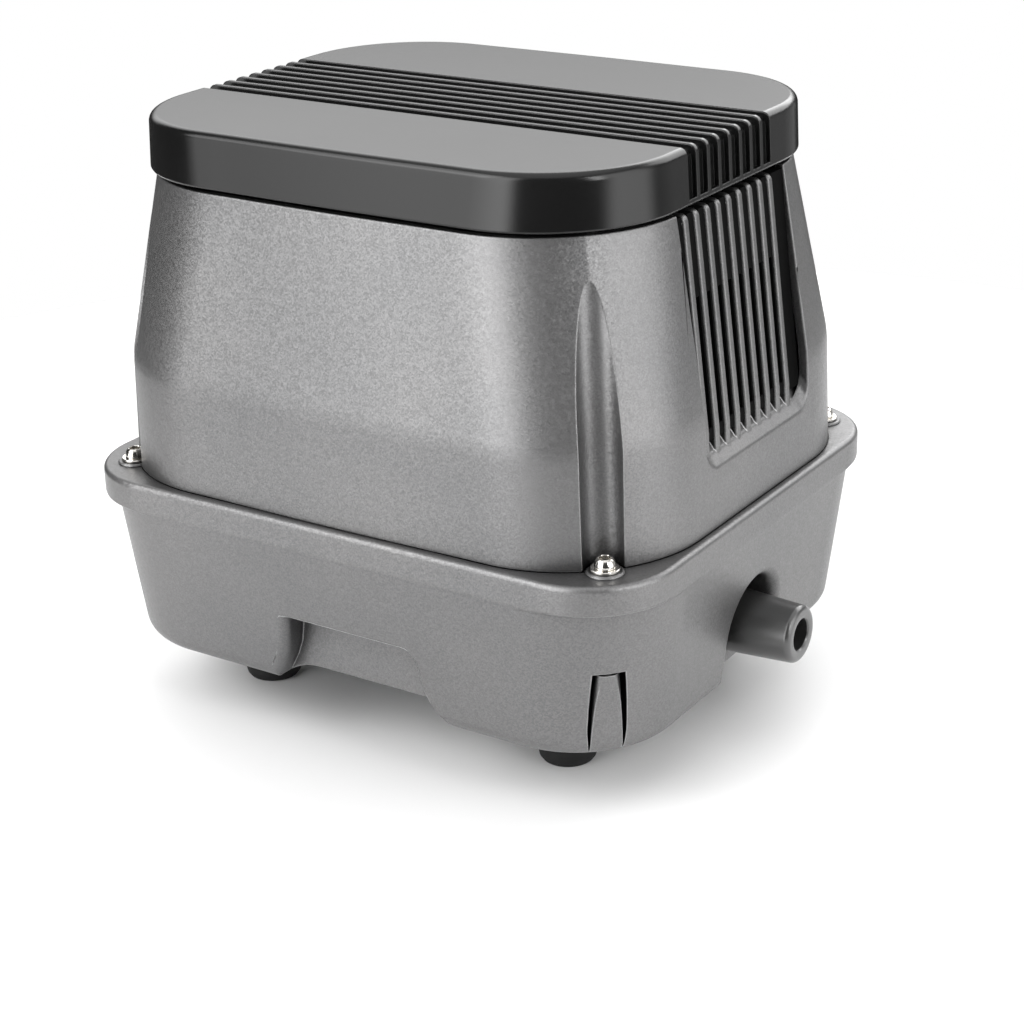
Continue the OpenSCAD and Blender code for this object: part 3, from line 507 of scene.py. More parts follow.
materials = {
    "casting": silver_paint(),
    "lid_plastic": plain("black_plastic", 0.005, 0.008, (0.16, 0.22), grain=0.35, relief=0.25,
                         edge=0.35, worn=(0.03, 0.5), blotch=60.0, specular=0.35),
    "vent_plastic": plain("vent_plastic", 0.002, 0.003, (0.6, 0.75), relief=0.4, edge=0.2,
                          specular=0.04),
    "foam": open_foam(),
    "screw_steel": plain("stainless", 0.62, 0.70, (0.12, 0.22), (1.03, 1, 0.95), metallic=1.0,
                         grain=0.8, relief=0.06, edge=0.15, blotch=6.0),
    "gasket_rubber": plain("gasket_rubber", 0.018, 0.026, (0.6, 0.8)),
    "plain_aluminium": plain("aluminium", 0.55, 0.66, (0.28, 0.42), metallic=1.0, grain=1.2,
                             relief=0.15, blotch=25.0),
    "foot_rubber": plain("foot_rubber", 0.006, 0.010, (0.55, 0.7), grain=0.6, relief=0.35,
                         worn=(0.02, 0.5), specular=0.3),
    "nipple_plastic": plain("nipple_plastic", 0.010, 0.014, (0.45, 0.6)),
    # Its lighter edges are a painted highlight along the rims.
    "sleeve_rubber": plain("sleeve_rubber", 0.018, 0.026, (0.28, 0.36), grain=0.5, relief=0.2,
                           worn=(0.16, 0.7), blotch=15.0, coat=0.4, specular=1.0),
    "core_steel": laminated_steel(),
    "nylon": plain("nylon", 0.62, 0.72, (0.4, 0.55), (1, 0.98, 0.92), grain=0.8),
    "copper_wire": wound_copper(),
    "magnet": plain("magnet", 0.05, 0.08, (0.35, 0.5), (0.95, 1, 1.1), metallic=0.6,
                    worn=(0.3, 0.5)),
    "diaphragm_rubber": plain("diaphragm_rubber", 0.02, 0.028, (0.45, 0.6)),
    "lead_wire": surface("lead_wire", (grey(0.4, (1, 0.08, 0.06)), grey(0.45, (1, 0.1, 0.07))),
                         (0.35, 0.5)).material,
    "cord_rubber": plain("cord_rubber", 0.014, 0.020, (0.45, 0.6), grain=0.7, relief=0.3),
    "plug_brass": surface("brass", (grey(0.66, (1, 0.78, 0.42)), grey(0.74, (1, 0.8, 0.45))),
                          (0.18, 0.3), metallic=1.0, grain=0.9, relief=0.08).material,
}
slot_of = {part["node"]: part["material_slot"] for part in frame["record"]["subparts"]}
for node, thing in frame["nodes"].items():
    for material_slot in thing.material_slots:
        material_slot.material = materials[slot_of[node]]


# Upper housing

def eased(z, low, middle, high, reach=3.0):
    """Two straight draft lines through three (height, value) points, joined by a short curve."""
    (z0, v0), (z1, v1), (z2, v2) = low, middle, high
    below, above = (v1 - v0) / (z1 - z0), (v2 - v1) / (z2 - z1)
    past = min(max(z - z1 + reach, 0), 2 * reach)
    turned = (above - below) * past ** 2 / (4 * reach)
    return v1 + below * (z - z1) + turned + (above - below) * max(z - z1 - reach, 0)


def shell_half(z):
    """Half widths of the upper housing's face at a height."""
    a = eased(z, (FLANGE_Z, FOOT_A), (BREAK_Z, BREAK_A), (HOUSING_Z, TOP_A))
    b = eased(z, (FLANGE_Z, FOOT_B), (BREAK_Z, BREAK_B), (HOUSING_Z, TOP_B))
    return a, b


def scoop_centre(z):
    """Middle of a corner scoop at a height, in the first quadrant."""
    diagonal = math.atan2(SCREW_Y, SCREW_X)
    shift = max(z - EAR_Z, 0) * SCOOP_TILT
    return np.array([SCREW_X - shift * math.cos(diagonal), SCREW_Y - shift * math.sin(diagonal)])


def angle_between(one, two, opposite):
    """Angle between two sides of a triangle, from the lengths of all three."""
    return math.acos(min(1, (one ** 2 + two ** 2 - opposite ** 2) / (2 * one * two)))


def scooped_corner(a, b, r, z, inset):
    """Corner of the wall with the scoop cut into it and its edges rounded."""
    wall_steps, edge_steps, scoop_steps = 7, 4, 12
    c = np.array([a - r, b - r])
    s = scoop_centre(z)
    big, small, edge = r - inset, SCOOP_R + inset, SCOOP_EDGE
    span = s - c
    distance = np.hypot(*span)
    facing = math.atan2(span[1], span[0])
    depth = big + small - distance

    def circle(centre, radius, angles):
        return centre + radius * np.stack([np.cos(angles), np.sin(angles)], 1)

    middle_steps = 2 * edge_steps + scoop_steps
    if depth < 0.004:                # the scoop has run out of the wall
        half = math.radians(0.35)
        middle = circle(c, big, np.linspace(facing - half, facing + half, middle_steps + 1))
    else:
        to_c, to_s = big - edge, small + edge
        half = angle_between(to_c, distance, to_s)
        beta = angle_between(to_s, distance, to_c)
        runs = []
        for sign in (-1, 1):
            start = facing + sign * half
            pivot = c + to_c * np.array([math.cos(start), math.sin(start)])
            toward = s - pivot
            end = math.atan2(toward[1], toward[0])
            end = start + (end - start + math.pi) % (2 * math.pi) - math.pi
            arc = circle(pivot, edge, np.linspace(start, end, edge_steps + 1))
            runs.append(arc if sign < 0 else arc[::-1])
        back = facing + math.pi
        inner = circle(s, small, np.linspace(back + beta, back - beta, scoop_steps + 1))
        middle = np.concatenate([runs[0][:-1], inner, runs[1][1:]])
    first = circle(c, big, np.linspace(0, facing - half, wall_steps + 1))[:-1]
    last = circle(c, big, np.linspace(facing + half, math.pi / 2, wall_steps + 1))[1:]
    return np.concatenate([first, middle, last])


def shell_ring(z, inset, top=None):
    """Ring of the upper housing's skin, set in from the outer face."""
    a, b = shell_half(z)
    crown = 0.6
    corner = scooped_corner(a, b, HOUSING_R, z, inset)
    ring = outline(a - inset, b - inset, HOUSING_R - inset, crown, corner)
    return at_height(ring, z if top is None else top)


def scoop_tip():
    """Height at which the scoops run out of the wall."""
    for z in np.arange(EAR_Z + 40, HOUSING_Z, 0.1):
        a, b = shell_half(z)
        gap = np.hypot(*(scoop_centre(z) - (a - HOUSING_R, b - HOUSING_R)))
        if gap > HOUSING_R + SCOOP_R:
            return z
    return HOUSING_Z - 8


def shell_rings():
    """Rings up the outer face, over the rim and down the inner face."""
    tip = scoop_tip()
    foot, lip = FLANGE_Z - 0.9, FLANGE_Z + 0.3
    heights = [lip + 0.4, foot + 6, foot + 14, foot + 22, foot + 29]
    heights += [BREAK_Z - 3, BREAK_Z - 1.5, BREAK_Z, BREAK_Z + 1.5, BREAK_Z + 3]
    heights += list(np.linspace(BREAK_Z + 9, tip - 14, 5))
    heights += [tip - 10, tip - 6.5, tip - 4, tip - 2.2, tip - 1, tip - 0.35, tip, tip + 0.5]
    rim = 0.45
    outer = [shell_ring(foot, 0.9), shell_ring(lip, 0.9), shell_ring(lip, 0.0)]
    outer += [shell_ring(z, 0.0) for z in heights]
    top = HOUSING_Z - rim
    for across, up in fillet(rim, 0, 90, 5):
        outer.append(shell_ring(top, rim - across, top + up))
    inner = [shell_ring(top, WALL - 0.5, HOUSING_Z), shell_ring(top, WALL, HOUSING_Z - 0.5)]
    inner += [shell_ring(z, WALL) for z in heights[::-1]] + [shell_ring(foot, WALL)]
    return outer + inner


def side_x(z):
    return shell_half(z)[0]


def vent_cutter(side):
    """Prism through the side wall with rounded lower corners and a sill that falls outwards."""
    r, out, back = 7.0, FLANGE_A + 6, side_x(VENT_Z) - 15
    y0, y1 = VENT_Y
    z0, top = VENT_Z, HOUSING_Z + 6
    low_left = fillet(r, 180, 270, 8) + (y0 + r, z0 + r)
    low_right = fillet(r, 270, 360, 8) + (y1 - r, z0 + r)
    section = np.concatenate([[(y0, top)], low_left, low_right, [(y1, top)]])
    rings = []
    for x in (back, out):
        fall = (side_x(VENT_Z) - x) * SILL_SLOPE
        z = section[:, 1] + np.where(section[:, 1] < top, fall, 0)
        rings.append(np.column_stack([np.full(len(section), x), section[:, 0], z]))
    return on_side(loft(rings), side)


def fin_y(i):
    return (i - (FIN_COUNT - 1) / 2) * FIN_PITCH - 0.5


def fin_x(z):
    """Face of the fins: level with the wall at the top, behind it at the bottom."""
    if z <= FIN_BEND_Z:
        return side_x(z) - FIN_SET
    bend, top = side_x(FIN_BEND_Z) - FIN_SET, TOP_A - 0.15
    return bend + (top - bend) * (z - FIN_BEND_Z) / (HOUSING_Z - FIN_BEND_Z)


def fin(i, side):
    """One blade of the grille, with rounded edges; it turns in at its top corner."""
    round_r, edge = 2.4, 0.8
    top = HOUSING_Z - 0.8
    path = [(fin_x(z), z) for z in (VENT_Z - 1, FIN_BEND_Z - 2, FIN_BEND_Z, FIN_BEND_Z + 2)]
    path += [(fin_x(z), z) for z in (BREAK_Z + 20, BREAK_Z + 40, top - round_r)]
    inner = [(x - FIN_DEPTH, z) for x, z in path]
    pivot = (path[-1][0] - round_r, top - round_r)
    for across, up in fillet(round_r, 10, 85, 6):
        path.append((pivot[0] + across, pivot[1] + up))
        inner.append((pivot[0] - 0.4, pivot[1] - 0.4))
    path.append((pivot[0] - 2.5, top))
    inner.append((pivot[0] - 2.5, top - round_r - 0.6))
    half = FIN_T / 2
    rounding = [(edge - c, s) for c, s in fillet(edge, 0, 90, 4)]
    section = [(FIN_DEPTH, -half)] + [(depth, -half + edge - s) for depth, s in rounding[::-1]]
    section += [(depth, half - edge + s) for depth, s in rounding] + [(FIN_DEPTH, half)]
    rings = []
    for (x0, z0), (x1, z1) in zip(path, inner):
        length = math.hypot(x1 - x0, z1 - z0)
        rings.append(np.array([(x0 + (x1 - x0) * min(depth / length, 1), y + fin_y(i),
                                z0 + (z1 - z0) * min(depth / length, 1)) for depth, y in section]))
    return on_side(loft(rings), side)


def sill_ledge(side):
    """Thicker wall under the vent's sill."""
    wall, low, deep = side_x(VENT_Z), VENT_Z - 6, 5.5
    section = [(wall - 1, low), (wall - 2.9, VENT_Z + 2.85 * SILL_SLOPE),
               (wall - deep, VENT_Z + deep * SILL_SLOPE), (wall - deep, VENT_Z - 1)]
    return on_side(loft([at_y(section, y) for y in (VENT_Y[0] - 1, VENT_Y[1] + 1)]), side)


def deck():
    """Shelf inside the housing that carries the filter."""
    ring = outline(TOP_A - 0.6, TOP_B - 0.6, HOUSING_R - 2)
    return loft([at_height(ring, z) for z in (DECK_Z - WALL, DECK_Z)])


def deck_slots():
    """Five slots through the shelf, for the air."""
    slot, pitch = outline(3, 30, 2.9), 16
    return [loft([at_height(slot + (i * pitch, 0), z) for z in (DECK_Z - 6, DECK_Z + 3)])
            for i in range(-2, 3)]


def ears():
    """Low bosses under the corner screws' washers."""
    profile = [(5.6, FLANGE_Z - 1), (5.6, EAR_Z - 0.4), (5.2, EAR_Z), (0.01, EAR_Z)]
    return at_corners(lathe(profile, 32), SCREW_X, SCREW_Y)


def grommet_boss():
    """Flat round pad on the back wall where the cord comes out."""
    hole, root = 6.1, FOOT_B - 3
    profile = [(12.4, root), (12.0, BOSS_Y - 0.8), (11.4, BOSS_Y - 0.2), (10.8, BOSS_Y),
               (hole, BOSS_Y), (hole, root)]
    return on_back_wall(lathe(profile, 48, loop=True))


def make_upper_housing():
    housing = build("upper_housing_shell", [loft(shell_rings(), loop=True)])
    flat_y = TOP_B - HOUSING_R
    merge_flat(housing.data, lambda p, n: abs(n.x) > 0.9 and abs(p.y) < flat_y)
    cut(housing, [vent_cutter(1), vent_cutter(-1)], 0.6,
        lambda p: abs(p.x) > side_x(p.z) - 1.0)
    shelf = build("shelf", [deck()])
    cut(shelf, deck_slots(), 0.3)
    extras = [fin(i, side) for i in range(FIN_COUNT) for side in (1, -1)]
    extras += ears() + [sill_ledge(1), sill_ledge(-1), grommet_boss()]
    join(housing, [shelf, build("trim", extras)])
    finished(housing, "casting", "upper_housing")


def join(target, others):
    """Adds the meshes of others to the target and removes them."""
    bm = bmesh.new()
    for thing in [target] + others:
        bm.from_mesh(thing.data)
    bm.to_mesh(target.data)
    bm.free()
    for thing in others:
        bpy.data.objects.remove(thing)


# Base casting

RIM_A, RIM_B = FLANGE_A - 6.6, FLANGE_B - 5.9     # half widths at the foot
RIM_FILLET = 5.5
SKIRT_Z = FOOT_Z + 8.5                            # underside, inside the rim
WALL_TOP = FLANGE_Z - 9.5                         # foot of the flange
POCKET_TOP = 49.0                                 # top of the notches under the screws


def wall_half(z):
    """Half widths and corner radius of the base's wall at a height."""
    a, b = RIM_A + 0.4, RIM_B + 0.4
    t = (z - FOOT_Z) / (WALL_TOP + 1 - FOOT_Z)
    return a + (FLANGE_A - a) * t, b + (FLANGE_B - b) * t, 33 + 4 * t


def wall_at(z):
    """Half widths of the wall, level above and below it."""
    return wall_half(min(max(z, FOOT_Z), WALL_TOP))[:2]


def mouth(soft, outside, angles):
    """Depth and flare of the rings of a bell mouth, from outside the wall to its throat."""
    turns = np.radians(angles)
    return [(-outside, soft)] + [(soft - soft * math.sin(t), soft - soft * math.cos(t)) for t in turns]


def base_rings():
    """Rings from the underside round the foot, up the wall, over the flange and down inside."""
    rings = []

    def ring(a, b, r, z):
        rings.append(at_height(outline(a, b, r), z))

    inner_a, inner_b = RIM_A - 12, RIM_B - 12
    ring(inner_a, inner_b, 20, SKIRT_Z)
    ring(inner_a, inner_b, 20, FOOT_Z + 1)
    ring(inner_a + 1, inner_b + 1, 21, FOOT_Z)
    for across, up in fillet(RIM_FILLET, -90, 0, 7):
        z = FOOT_Z + RIM_FILLET + up
        a, b, r = wall_half(z)
        inset = RIM_FILLET - across
        ring(a - inset, b - inset, r - inset, z)
    for z in (30, 38, 46, 54, 62, WALL_TOP - 0.9):
        ring(*wall_half(z), z)
    a, b, r = wall_half(WALL_TOP)
    ring(a, b, r - 0.6, WALL_TOP - 0.4)
    ring(FLANGE_A - 0.05, FLANGE_B - 0.05, 31, WALL_TOP + 0.05)
    ring(FLANGE_A, FLANGE_B, 28.4, WALL_TOP + 0.5)
    ring(FLANGE_A, FLANGE_B, 28, WALL_TOP + 1.2)
    rim = 1.7
    for across, up in fillet(rim, 0, 90, 6):
        ring(FLANGE_A - rim + across, FLANGE_B - rim + across, 28 - rim + across, FLANGE_Z - rim + up)
    seat_a, seat_b, seat_r = FOOT_A + 0.2, FOOT_B + 0.2, HOUSING_R + 0.2
    ring(seat_a, seat_b, seat_r, FLANGE_Z)
    ring(seat_a, seat_b, seat_r, FLANGE_Z - 2.2)
    ring(FOOT_A - 2.7, FOOT_B - 2.8, 42, FLANGE_Z - 2.2)
    ring(FOOT_A - 2.7, FOOT_B - 2.8, 42, 58.8)
    ring(RECESS_X - 4, 66, 28, 58.8)
    ring(RECESS_X - 4, 66, 28, FOOT_Z + 12)
    return rings


def arch_cutter():
    """Recess in the front of the base; its left edge turns in more softly than the others."""
    left, right, top, floor, back = -20.0, 30.0, FOOT_Z + 25.2, FOOT_Z - 3, RIM_B - 7.0
    r, r_left, soft = 6.0, 3.0, 3.2
    side = [(right + 14, floor), (right + 7.5, FOOT_Z + 2.5), (right + 2.6, FOOT_Z + 8),
            (right + 0.7, FOOT_Z + 12)]
    arc = [(right - r - 0.5 + c, top - r + s) for c, s in fillet(r, 0, 90, 7)]
    arc_left = [(left + r_left + c, top - r_left + s) for c, s in fillet(r_left, 90, 180, 5)]
    far = [(left - 1.2, FOOT_Z + 13), (left - 3.0, FOOT_Z + 8), (left - 6, FOOT_Z + 2.5),
           (left - 9, floor)]
    section = np.array(side + arc + arc_left + far)
    weight = np.ones(len(section))
    first_left = len(side) + len(arc)
    weight[:first_left] = 0.15
    weight[first_left:first_left + 2] = 0.4
    rings = []
    for depth, flare in mouth(soft, 6.0, [90, 70, 50, 30, 12, 0]):
        x = section[:, 0] - np.where(section[:, 0] < 0, 1, -1) * flare * weight
        z = section[:, 1] + np.where(section[:, 1] > top - 1, flare * 0.1, 0)
        y = np.array([depth - wall_at(height)[1] for height in section[:, 1]])
        rings.append(np.column_stack([x, y, z]))
    return loft(rings + [at_y(section, -back)])


def arch_throat():
    """Opens the foot of the arch's back wall, rising in a curve from the left."""
    low, top = FOOT_Z - 4, FOOT_Z + 4.7
    section = [(-34, low), (-29, FOOT_Z), (-26, FOOT_Z + 1.6), (-23, FOOT_Z + 3.2),
               (-20, FOOT_Z + 4.2), (-16, top), (30, top), (36, FOOT_Z + 1), (40, low)]
    return loft([at_y(section, y) for y in (-RIM_B - 8, 14 - RIM_B)])


def recess_cutter():
    """Bell-mouthed hollow round the outlet, open at the bottom."""
    rings = []
    for depth, flare in mouth(3.4, 5.0, [90, 72, 54, 36, 18, 0]) + [(None, 0.0)]:
        r = RECESS_R + flare
        flat = [(r + 1.0, FOOT_Z - 4), (r + 0.6, FOOT_Z + 6)]
        arch = [(c, OUTLET_Z + 1 + s) for c, s in fillet(r, 0, 180, 24)]
        ring = []
        for y, z in flat + arch + [(-y, z) for y, z in flat[::-1]]:
            ring.append((RECESS_X if depth is None else wall_at(z)[0] - depth, y, z))
        rings.append(np.array(ring))
    return loft(rings)


def pocket_cutters():
    """Notches under the corner screws, each round a post that widens downwards."""
    r, gap, low = 6.0, 0.8, FOOT_Z + 2.2
    profile = [(5.0, low), (4.75, FOOT_Z + 8), (4.35, FOOT_Z + 19), (3.9, POCKET_TOP - gap),
               (2.5, POCKET_TOP - gap), (2.5, POCKET_TOP), (r, POCKET_TOP), (r, FOOT_Z + 9), (5.3, low)]
    return at_corners(lathe(profile, 40, loop=True), SCREW_X, SCREW_Y)


def seat_ring():
    """Raised ring on the recess's flat face, round the outlet."""
    profile = [(11.2, RECESS_X - 1), (11.2, RECESS_X + 1.0), (11.6, RECESS_X + 1.5),
               (12.6, RECESS_X + 1.5), (13.1, RECESS_X + 1.0), (13.3, RECESS_X - 1)]
    return moved(along_x(lathe(profile, 64, loop=True)), (0, 0, OUTLET_Z + 1))


def make_lower_housing():
    base = build("lower_housing_shell", [loft(base_rings())])
    merge_flat(base.data, lambda p, n: abs(n.x) > 0.98 and abs(p.y) < RIM_B - 37 and 27 < p.z < 68)
    cut(base, [arch_cutter(), recess_cutter()], 0.35, lambda p: abs(p.z - FOOT_Z) > 0.6)
    cut(base, [arch_throat()], 0.5)
    cut(base, pocket_cutters())
    join(base, [build("ring", [seat_ring()])])
    finished(base, "casting", "lower_housing")


# Lid

GROOVE_W, GROOVE_D = 4.55, 1.6
LID_A, LID_B, LID_R = TOP_A + 0.5, TOP_B + 0.5, 42.0
LID_DRAFT_A, LID_DRAFT_B = 0.9, 1.6      # how much less it measures at the top edge
LID_EDGE = 2.6                           # radius of its top edge
LID_EDGE_Z = LID_TOP - LID_EDGE


def lid_half(z):
    """Half widths and corner radius of the lid at a height."""
    t = (z - LID_Z) / (LID_TOP - LID_Z)
    return LID_A - LID_DRAFT_A * t, LID_B - LID_DRAFT_B * t, LID_R - 2.5 * t


def lid_rings():
    rings = []

    def ring(z, inset, top=None):
        a, b, r = lid_half(z)
        wall = outline(a - inset, b - inset, r - inset, 0.5)
        rings.append(at_height(wall, z if top is None else top))

    ring(LID_Z + 0.3, 0.9, LID_Z)
    ring(LID_Z + 0.3, 0.3, LID_Z)
    ring(LID_Z + 0.5, 0.0)
    ring(LID_Z + 5, 0.0)
    ring(LID_Z + 9, 0.0)
    for across, up in fillet(LID_EDGE, 0, 90, 8):
        ring(LID_EDGE_Z, LID_EDGE - across, LID_EDGE_Z + up)
    return rings


def lid_inner():
    """Hollow under the lid."""
    rings = []
    for z, inset in ((LID_Z - 1, 2.2), (LID_TOP - 5, 2.2), (LID_TOP - 3.2, 3.4), (LID_TOP - 2.6, 6.0)):
        a, b, r = lid_half(z)
        rings.append(at_height(outline(a - inset, b - inset, r - inset), z))
    return loft(rings)


def groove_cutter(i):
    """One groove over the lid's top and down both sides, as a staple-shaped block."""
    y = (i - (FIN_COUNT - 2) / 2) * FIN_PITCH
    low, r = LID_Z + 1.6, LID_EDGE + 0.6
    a = lid_half(LID_EDGE_Z)[0]
    path = [(lid_half(low)[0] - GROOVE_D, low), (a - GROOVE_D, LID_EDGE_Z)]
    path += [(a - GROOVE_D - r + c, LID_TOP - GROOVE_D - r + s) for c, s in fillet(r, 0, 90, 6)][1:]
    inner = path + [(-x, z) for x, z in path[::-1]]
    outer = [(-FLANGE_A, low), (-FLANGE_A, LID_TOP + 5), (FLANGE_A, LID_TOP + 5), (FLANGE_A, low)]
    return loft([at_y(inner + outer, y + half) for half in (-GROOVE_W / 2, GROOVE_W / 2)])


def lid_skirt():
    """Wall under the lid that drops into the housing's opening."""
    top, low = LID_TOP - 2.4, LID_Z - 5
    rings = []
    for inset, z in ((5.4, top), (5.4, low + 0.4), (5.8, low), (7.0, low), (7.4, low + 0.4),
                     (7.4, top)):
        rings.append(at_height(outline(TOP_A - inset, TOP_B - inset, HOUSING_R - 3 - inset), z))
    return loft(rings, loop=True)


def lid_posts():
    """Posts that stand on the shelf at the filter's corners."""
    profile = [(3.2, DECK_Z), (4.0, DECK_Z + 0.8), (4.0, LID_TOP - 6), (5.5, LID_TOP - 2.5)]
    return at_corners(lathe(profile, 32), 74, 50)


def make_lid():
    lid = build("lid_cover", [loft(lid_rings())])
    cut(lid, [lid_inner()])
    merge_flat(lid.data, lambda p, n: abs(p.y) < LID_B - LID_R and (n.z > 0.99 or abs(n.x) > 0.95))
    cut(lid, [groove_cutter(i) for i in range(FIN_COUNT - 1)], 0.35)
    join(lid, [build("inside", [lid_skirt()] + lid_posts())])
    finished(lid, "lid_plastic", "lid", body="lid")


# Small parts

def make_feet():
    """Rubber feet with a wide pad, a waist and a collar against the base."""
    seat = FOOT_Z + 1.9
    profile = [(3.4, 7.0), (3.4, 1.2), (4.0, 0.3), (4.6, 0.0), (7.0, 0.0), (8.1, 0.4), (8.9, 1.5),
               (9.2, 3.0), (9.4, 6.2), (9.7, 6.9), (10.6, 7.3), (11.3, 7.9), (11.7, 9.0),
               (11.8, 16.0), (11.6, 18.2), (10.8, 19.4), (9.5, seat), (1.7, seat), (1.7, 7.0)]
    feet = at_corners(lathe(profile, 56, loop=True), FEET_X, FEET_Y)
    finished(build("feet", feet), "foot_rubber", "rubber_feet")


def make_sleeve():
    """Tapered outlet sleeve with a rounded lip and a bore that stops at the nipple."""
    root, end = [corner[0] for corner in local_box("outlet_sleeve")]
    r, bore, wide_bore, lip, stop = 9.2, OUTLET_BORE, 5.5, 1.8, end - 15.4
    profile = [(wide_bore, root), (r + 1.0, root), (r + 1.1, root + 0.4),
               (r + 0.55, (root + end) / 2), (r, end - lip)]
    profile += [(r - lip + c, end - lip + s) for c, s in fillet(lip, 8, 90, 6)]
    profile += [(bore + 0.9, end), (bore + 0.35, end - 0.15), (bore, end - 0.6), (bore, stop),
                (wide_bore, stop)]
    sleeve = moved(along_x(lathe(profile, 72, loop=True)), (0, 0, OUTLET_Z))
    finished(build("sleeve", [sleeve]), "sleeve_rubber", "outlet_sleeve")


def screw_head(base):
    """Domed button head with a hexagonal socket."""
    dome = [(2.0, 0.0), (3.0, 0.0), (3.15, 0.2), (3.15, 0.8), (3.05, 1.5), (2.75, 2.2), (2.3, 2.75),
            (2.0, 2.95), (1.9, 2.98)]
    socket = [(1.62, 2.85), (1.58, 2.6), (1.55, 1.2)]
    t = np.linspace(0, 2 * math.pi, 48, endpoint=False)
    circle = np.stack([np.cos(t), np.sin(t)], 1)
    hexagon = circle / np.cos((t + math.pi / 6) % (math.pi / 3) - math.pi / 6)[:, None]
    rings = [at_height(r * circle, base + z) for r, z in dome]
    rings += [at_height(r * hexagon, base + z) for r, z in socket]
    return loft(rings)


def make_screws():
    """Corner screws and their washers."""
    thick, shank_low = 0.9, 60.0
    head_z = EAR_Z + thick
    shank = lathe([(2.0, shank_low), (2.0, head_z + 0.2)], 32)
    screws = at_corners(screw_head(head_z), SCREW_X, SCREW_Y) + at_corners(shank, SCREW_X, SCREW_Y)
    finished(build("corner_screws", screws), "screw_steel", "housing_screws")
    washer = lathe([(2.15, 0.0), (4.2, 0.0), (4.4, 0.2), (4.4, thick - 0.2), (4.2, thick),
                    (2.15, thick)], 56, loop=True)
    washers = at_corners(washer, SCREW_X, SCREW_Y, EAR_Z)
    finished(build("corner_washers", washers), "screw_steel", "housing_washers")


def make_foam():
    """Soft block with eased edges and a cut, porous skin."""
    lo, hi = node_box("filter_foam")
    a, b = (hi.x - lo.x) / 2 - 0.4, (hi.y - lo.y) / 2 - 0.4
    height = hi.z - lo.z
    steps = [(6.0, 0), (2.5, 0), (0.8, 0.25), (0, 0.9)]
    steps += [(0, up) for up in np.linspace(3, height - 3, 9)]
    steps += [(0, height - 0.9), (0.8, height - 0.25)]
    steps += [(2.5 + (b - 14) * k / 8, height) for k in range(9)]
    rings = [at_height(outline(a - inset, b - inset, max(10 - inset, 3)), lo.z + up)
             for inset, up in steps]
    foam = build("foam_filter", [loft(rings)])
    subdivide = foam.modifiers.new("fine", "SUBSURF")
    subdivide.levels = subdivide.render_levels = 1
    texture = bpy.data.textures.new("pores", "CLOUDS")
    texture.noise_scale = 0.0016
    rough = foam.modifiers.new("pores", "DISPLACE")
    rough.texture = texture
    rough.texture_coords = "LOCAL"
    rough.strength = 0.0006
    rough.mid_level = 1.0
    finished(foam, "foam", "filter_foam", body="filter", angle=80)


def make_grommet():
    """Flanged grommet with a tapering tail of five rings."""
    inner, neck, end = FOOT_B - WALL - 1, 5.9, BOSS_Y + 12.0
    profile = [(CORD_R, inner - 2.5), (8.0, inner - 2.5), (8.5, inner - 2.0), (8.5, inner - 0.6),
               (neck, inner - 0.3), (neck, BOSS_Y + 0.05), (8.8, BOSS_Y + 0.05), (9.0, BOSS_Y + 0.4),
               (9.0, BOSS_Y + 1.8), (8.4, BOSS_Y + 2.5)]
    for k in range(5):
        y = BOSS_Y + 2.8 + k * 1.8
        wide = 6.6 - k * 0.42
        profile += [(wide - 0.9, y), (wide, y + 0.35), (wide, y + 1.0), (wide - 0.9, y + 1.35)]
    profile += [(4.2, end - 0.1), (CORD_R, end)]
    grommet = on_back_wall(lathe(profile, 48, loop=True))
    finished(build("grommet", [grommet]), "gasket_rubber", "cord_grommet", look="cord_rubber")


def make_plug():
    """Moulded plug with finger grips and a ribbed strain relief."""
    lo, hi = local_box("plug_body")
    x0, x1 = lo[0] + 10, hi[0]
    _, y, z = (lo + hi) / 2
    _, half_w, half_h = (hi - lo) / 2
    swell = [(0.0, 0.55), (0.01, 0.68), (0.06, 0.80), (0.15, 0.88), (0.24, 0.90), (0.27, 0.84),
             (0.33, 0.84), (0.36, 0.90), (0.42, 0.90), (0.45, 0.84), (0.51, 0.84), (0.54, 0.91),
             (0.62, 0.95), (0.70, 0.99), (0.78, 1.0), (0.96, 1.0), (0.99, 0.97), (1.0, 0.93)]
    rings = []
    for t, grow in swell:
        section = outline(half_w * grow, half_h * grow, half_h * 0.62 * grow) + (y, z)
        rings.append(np.column_stack([np.full(len(section), x0 + (x1 - x0) * t), section]))
    body = loft(rings)
    profile = [(CORD_R, lo[0])]
    for k in range(4):
        x = lo[0] + k * 2.5
        wide = 4.2 + k * 0.25
        profile += [(wide, x), (wide, x + 1.5), (wide - 0.7, x + 1.6), (wide - 0.7, x + 2.4)]
    profile += [(5.1, x0 + 0.5), (CORD_R, x0 + 0.5)]
    relief = moved(along_x(lathe(profile, 40, loop=True)), (0, y, lo[2] + 5.3))
    finished(build("plug", [body, relief]), "cord_rubber", "plug_body")


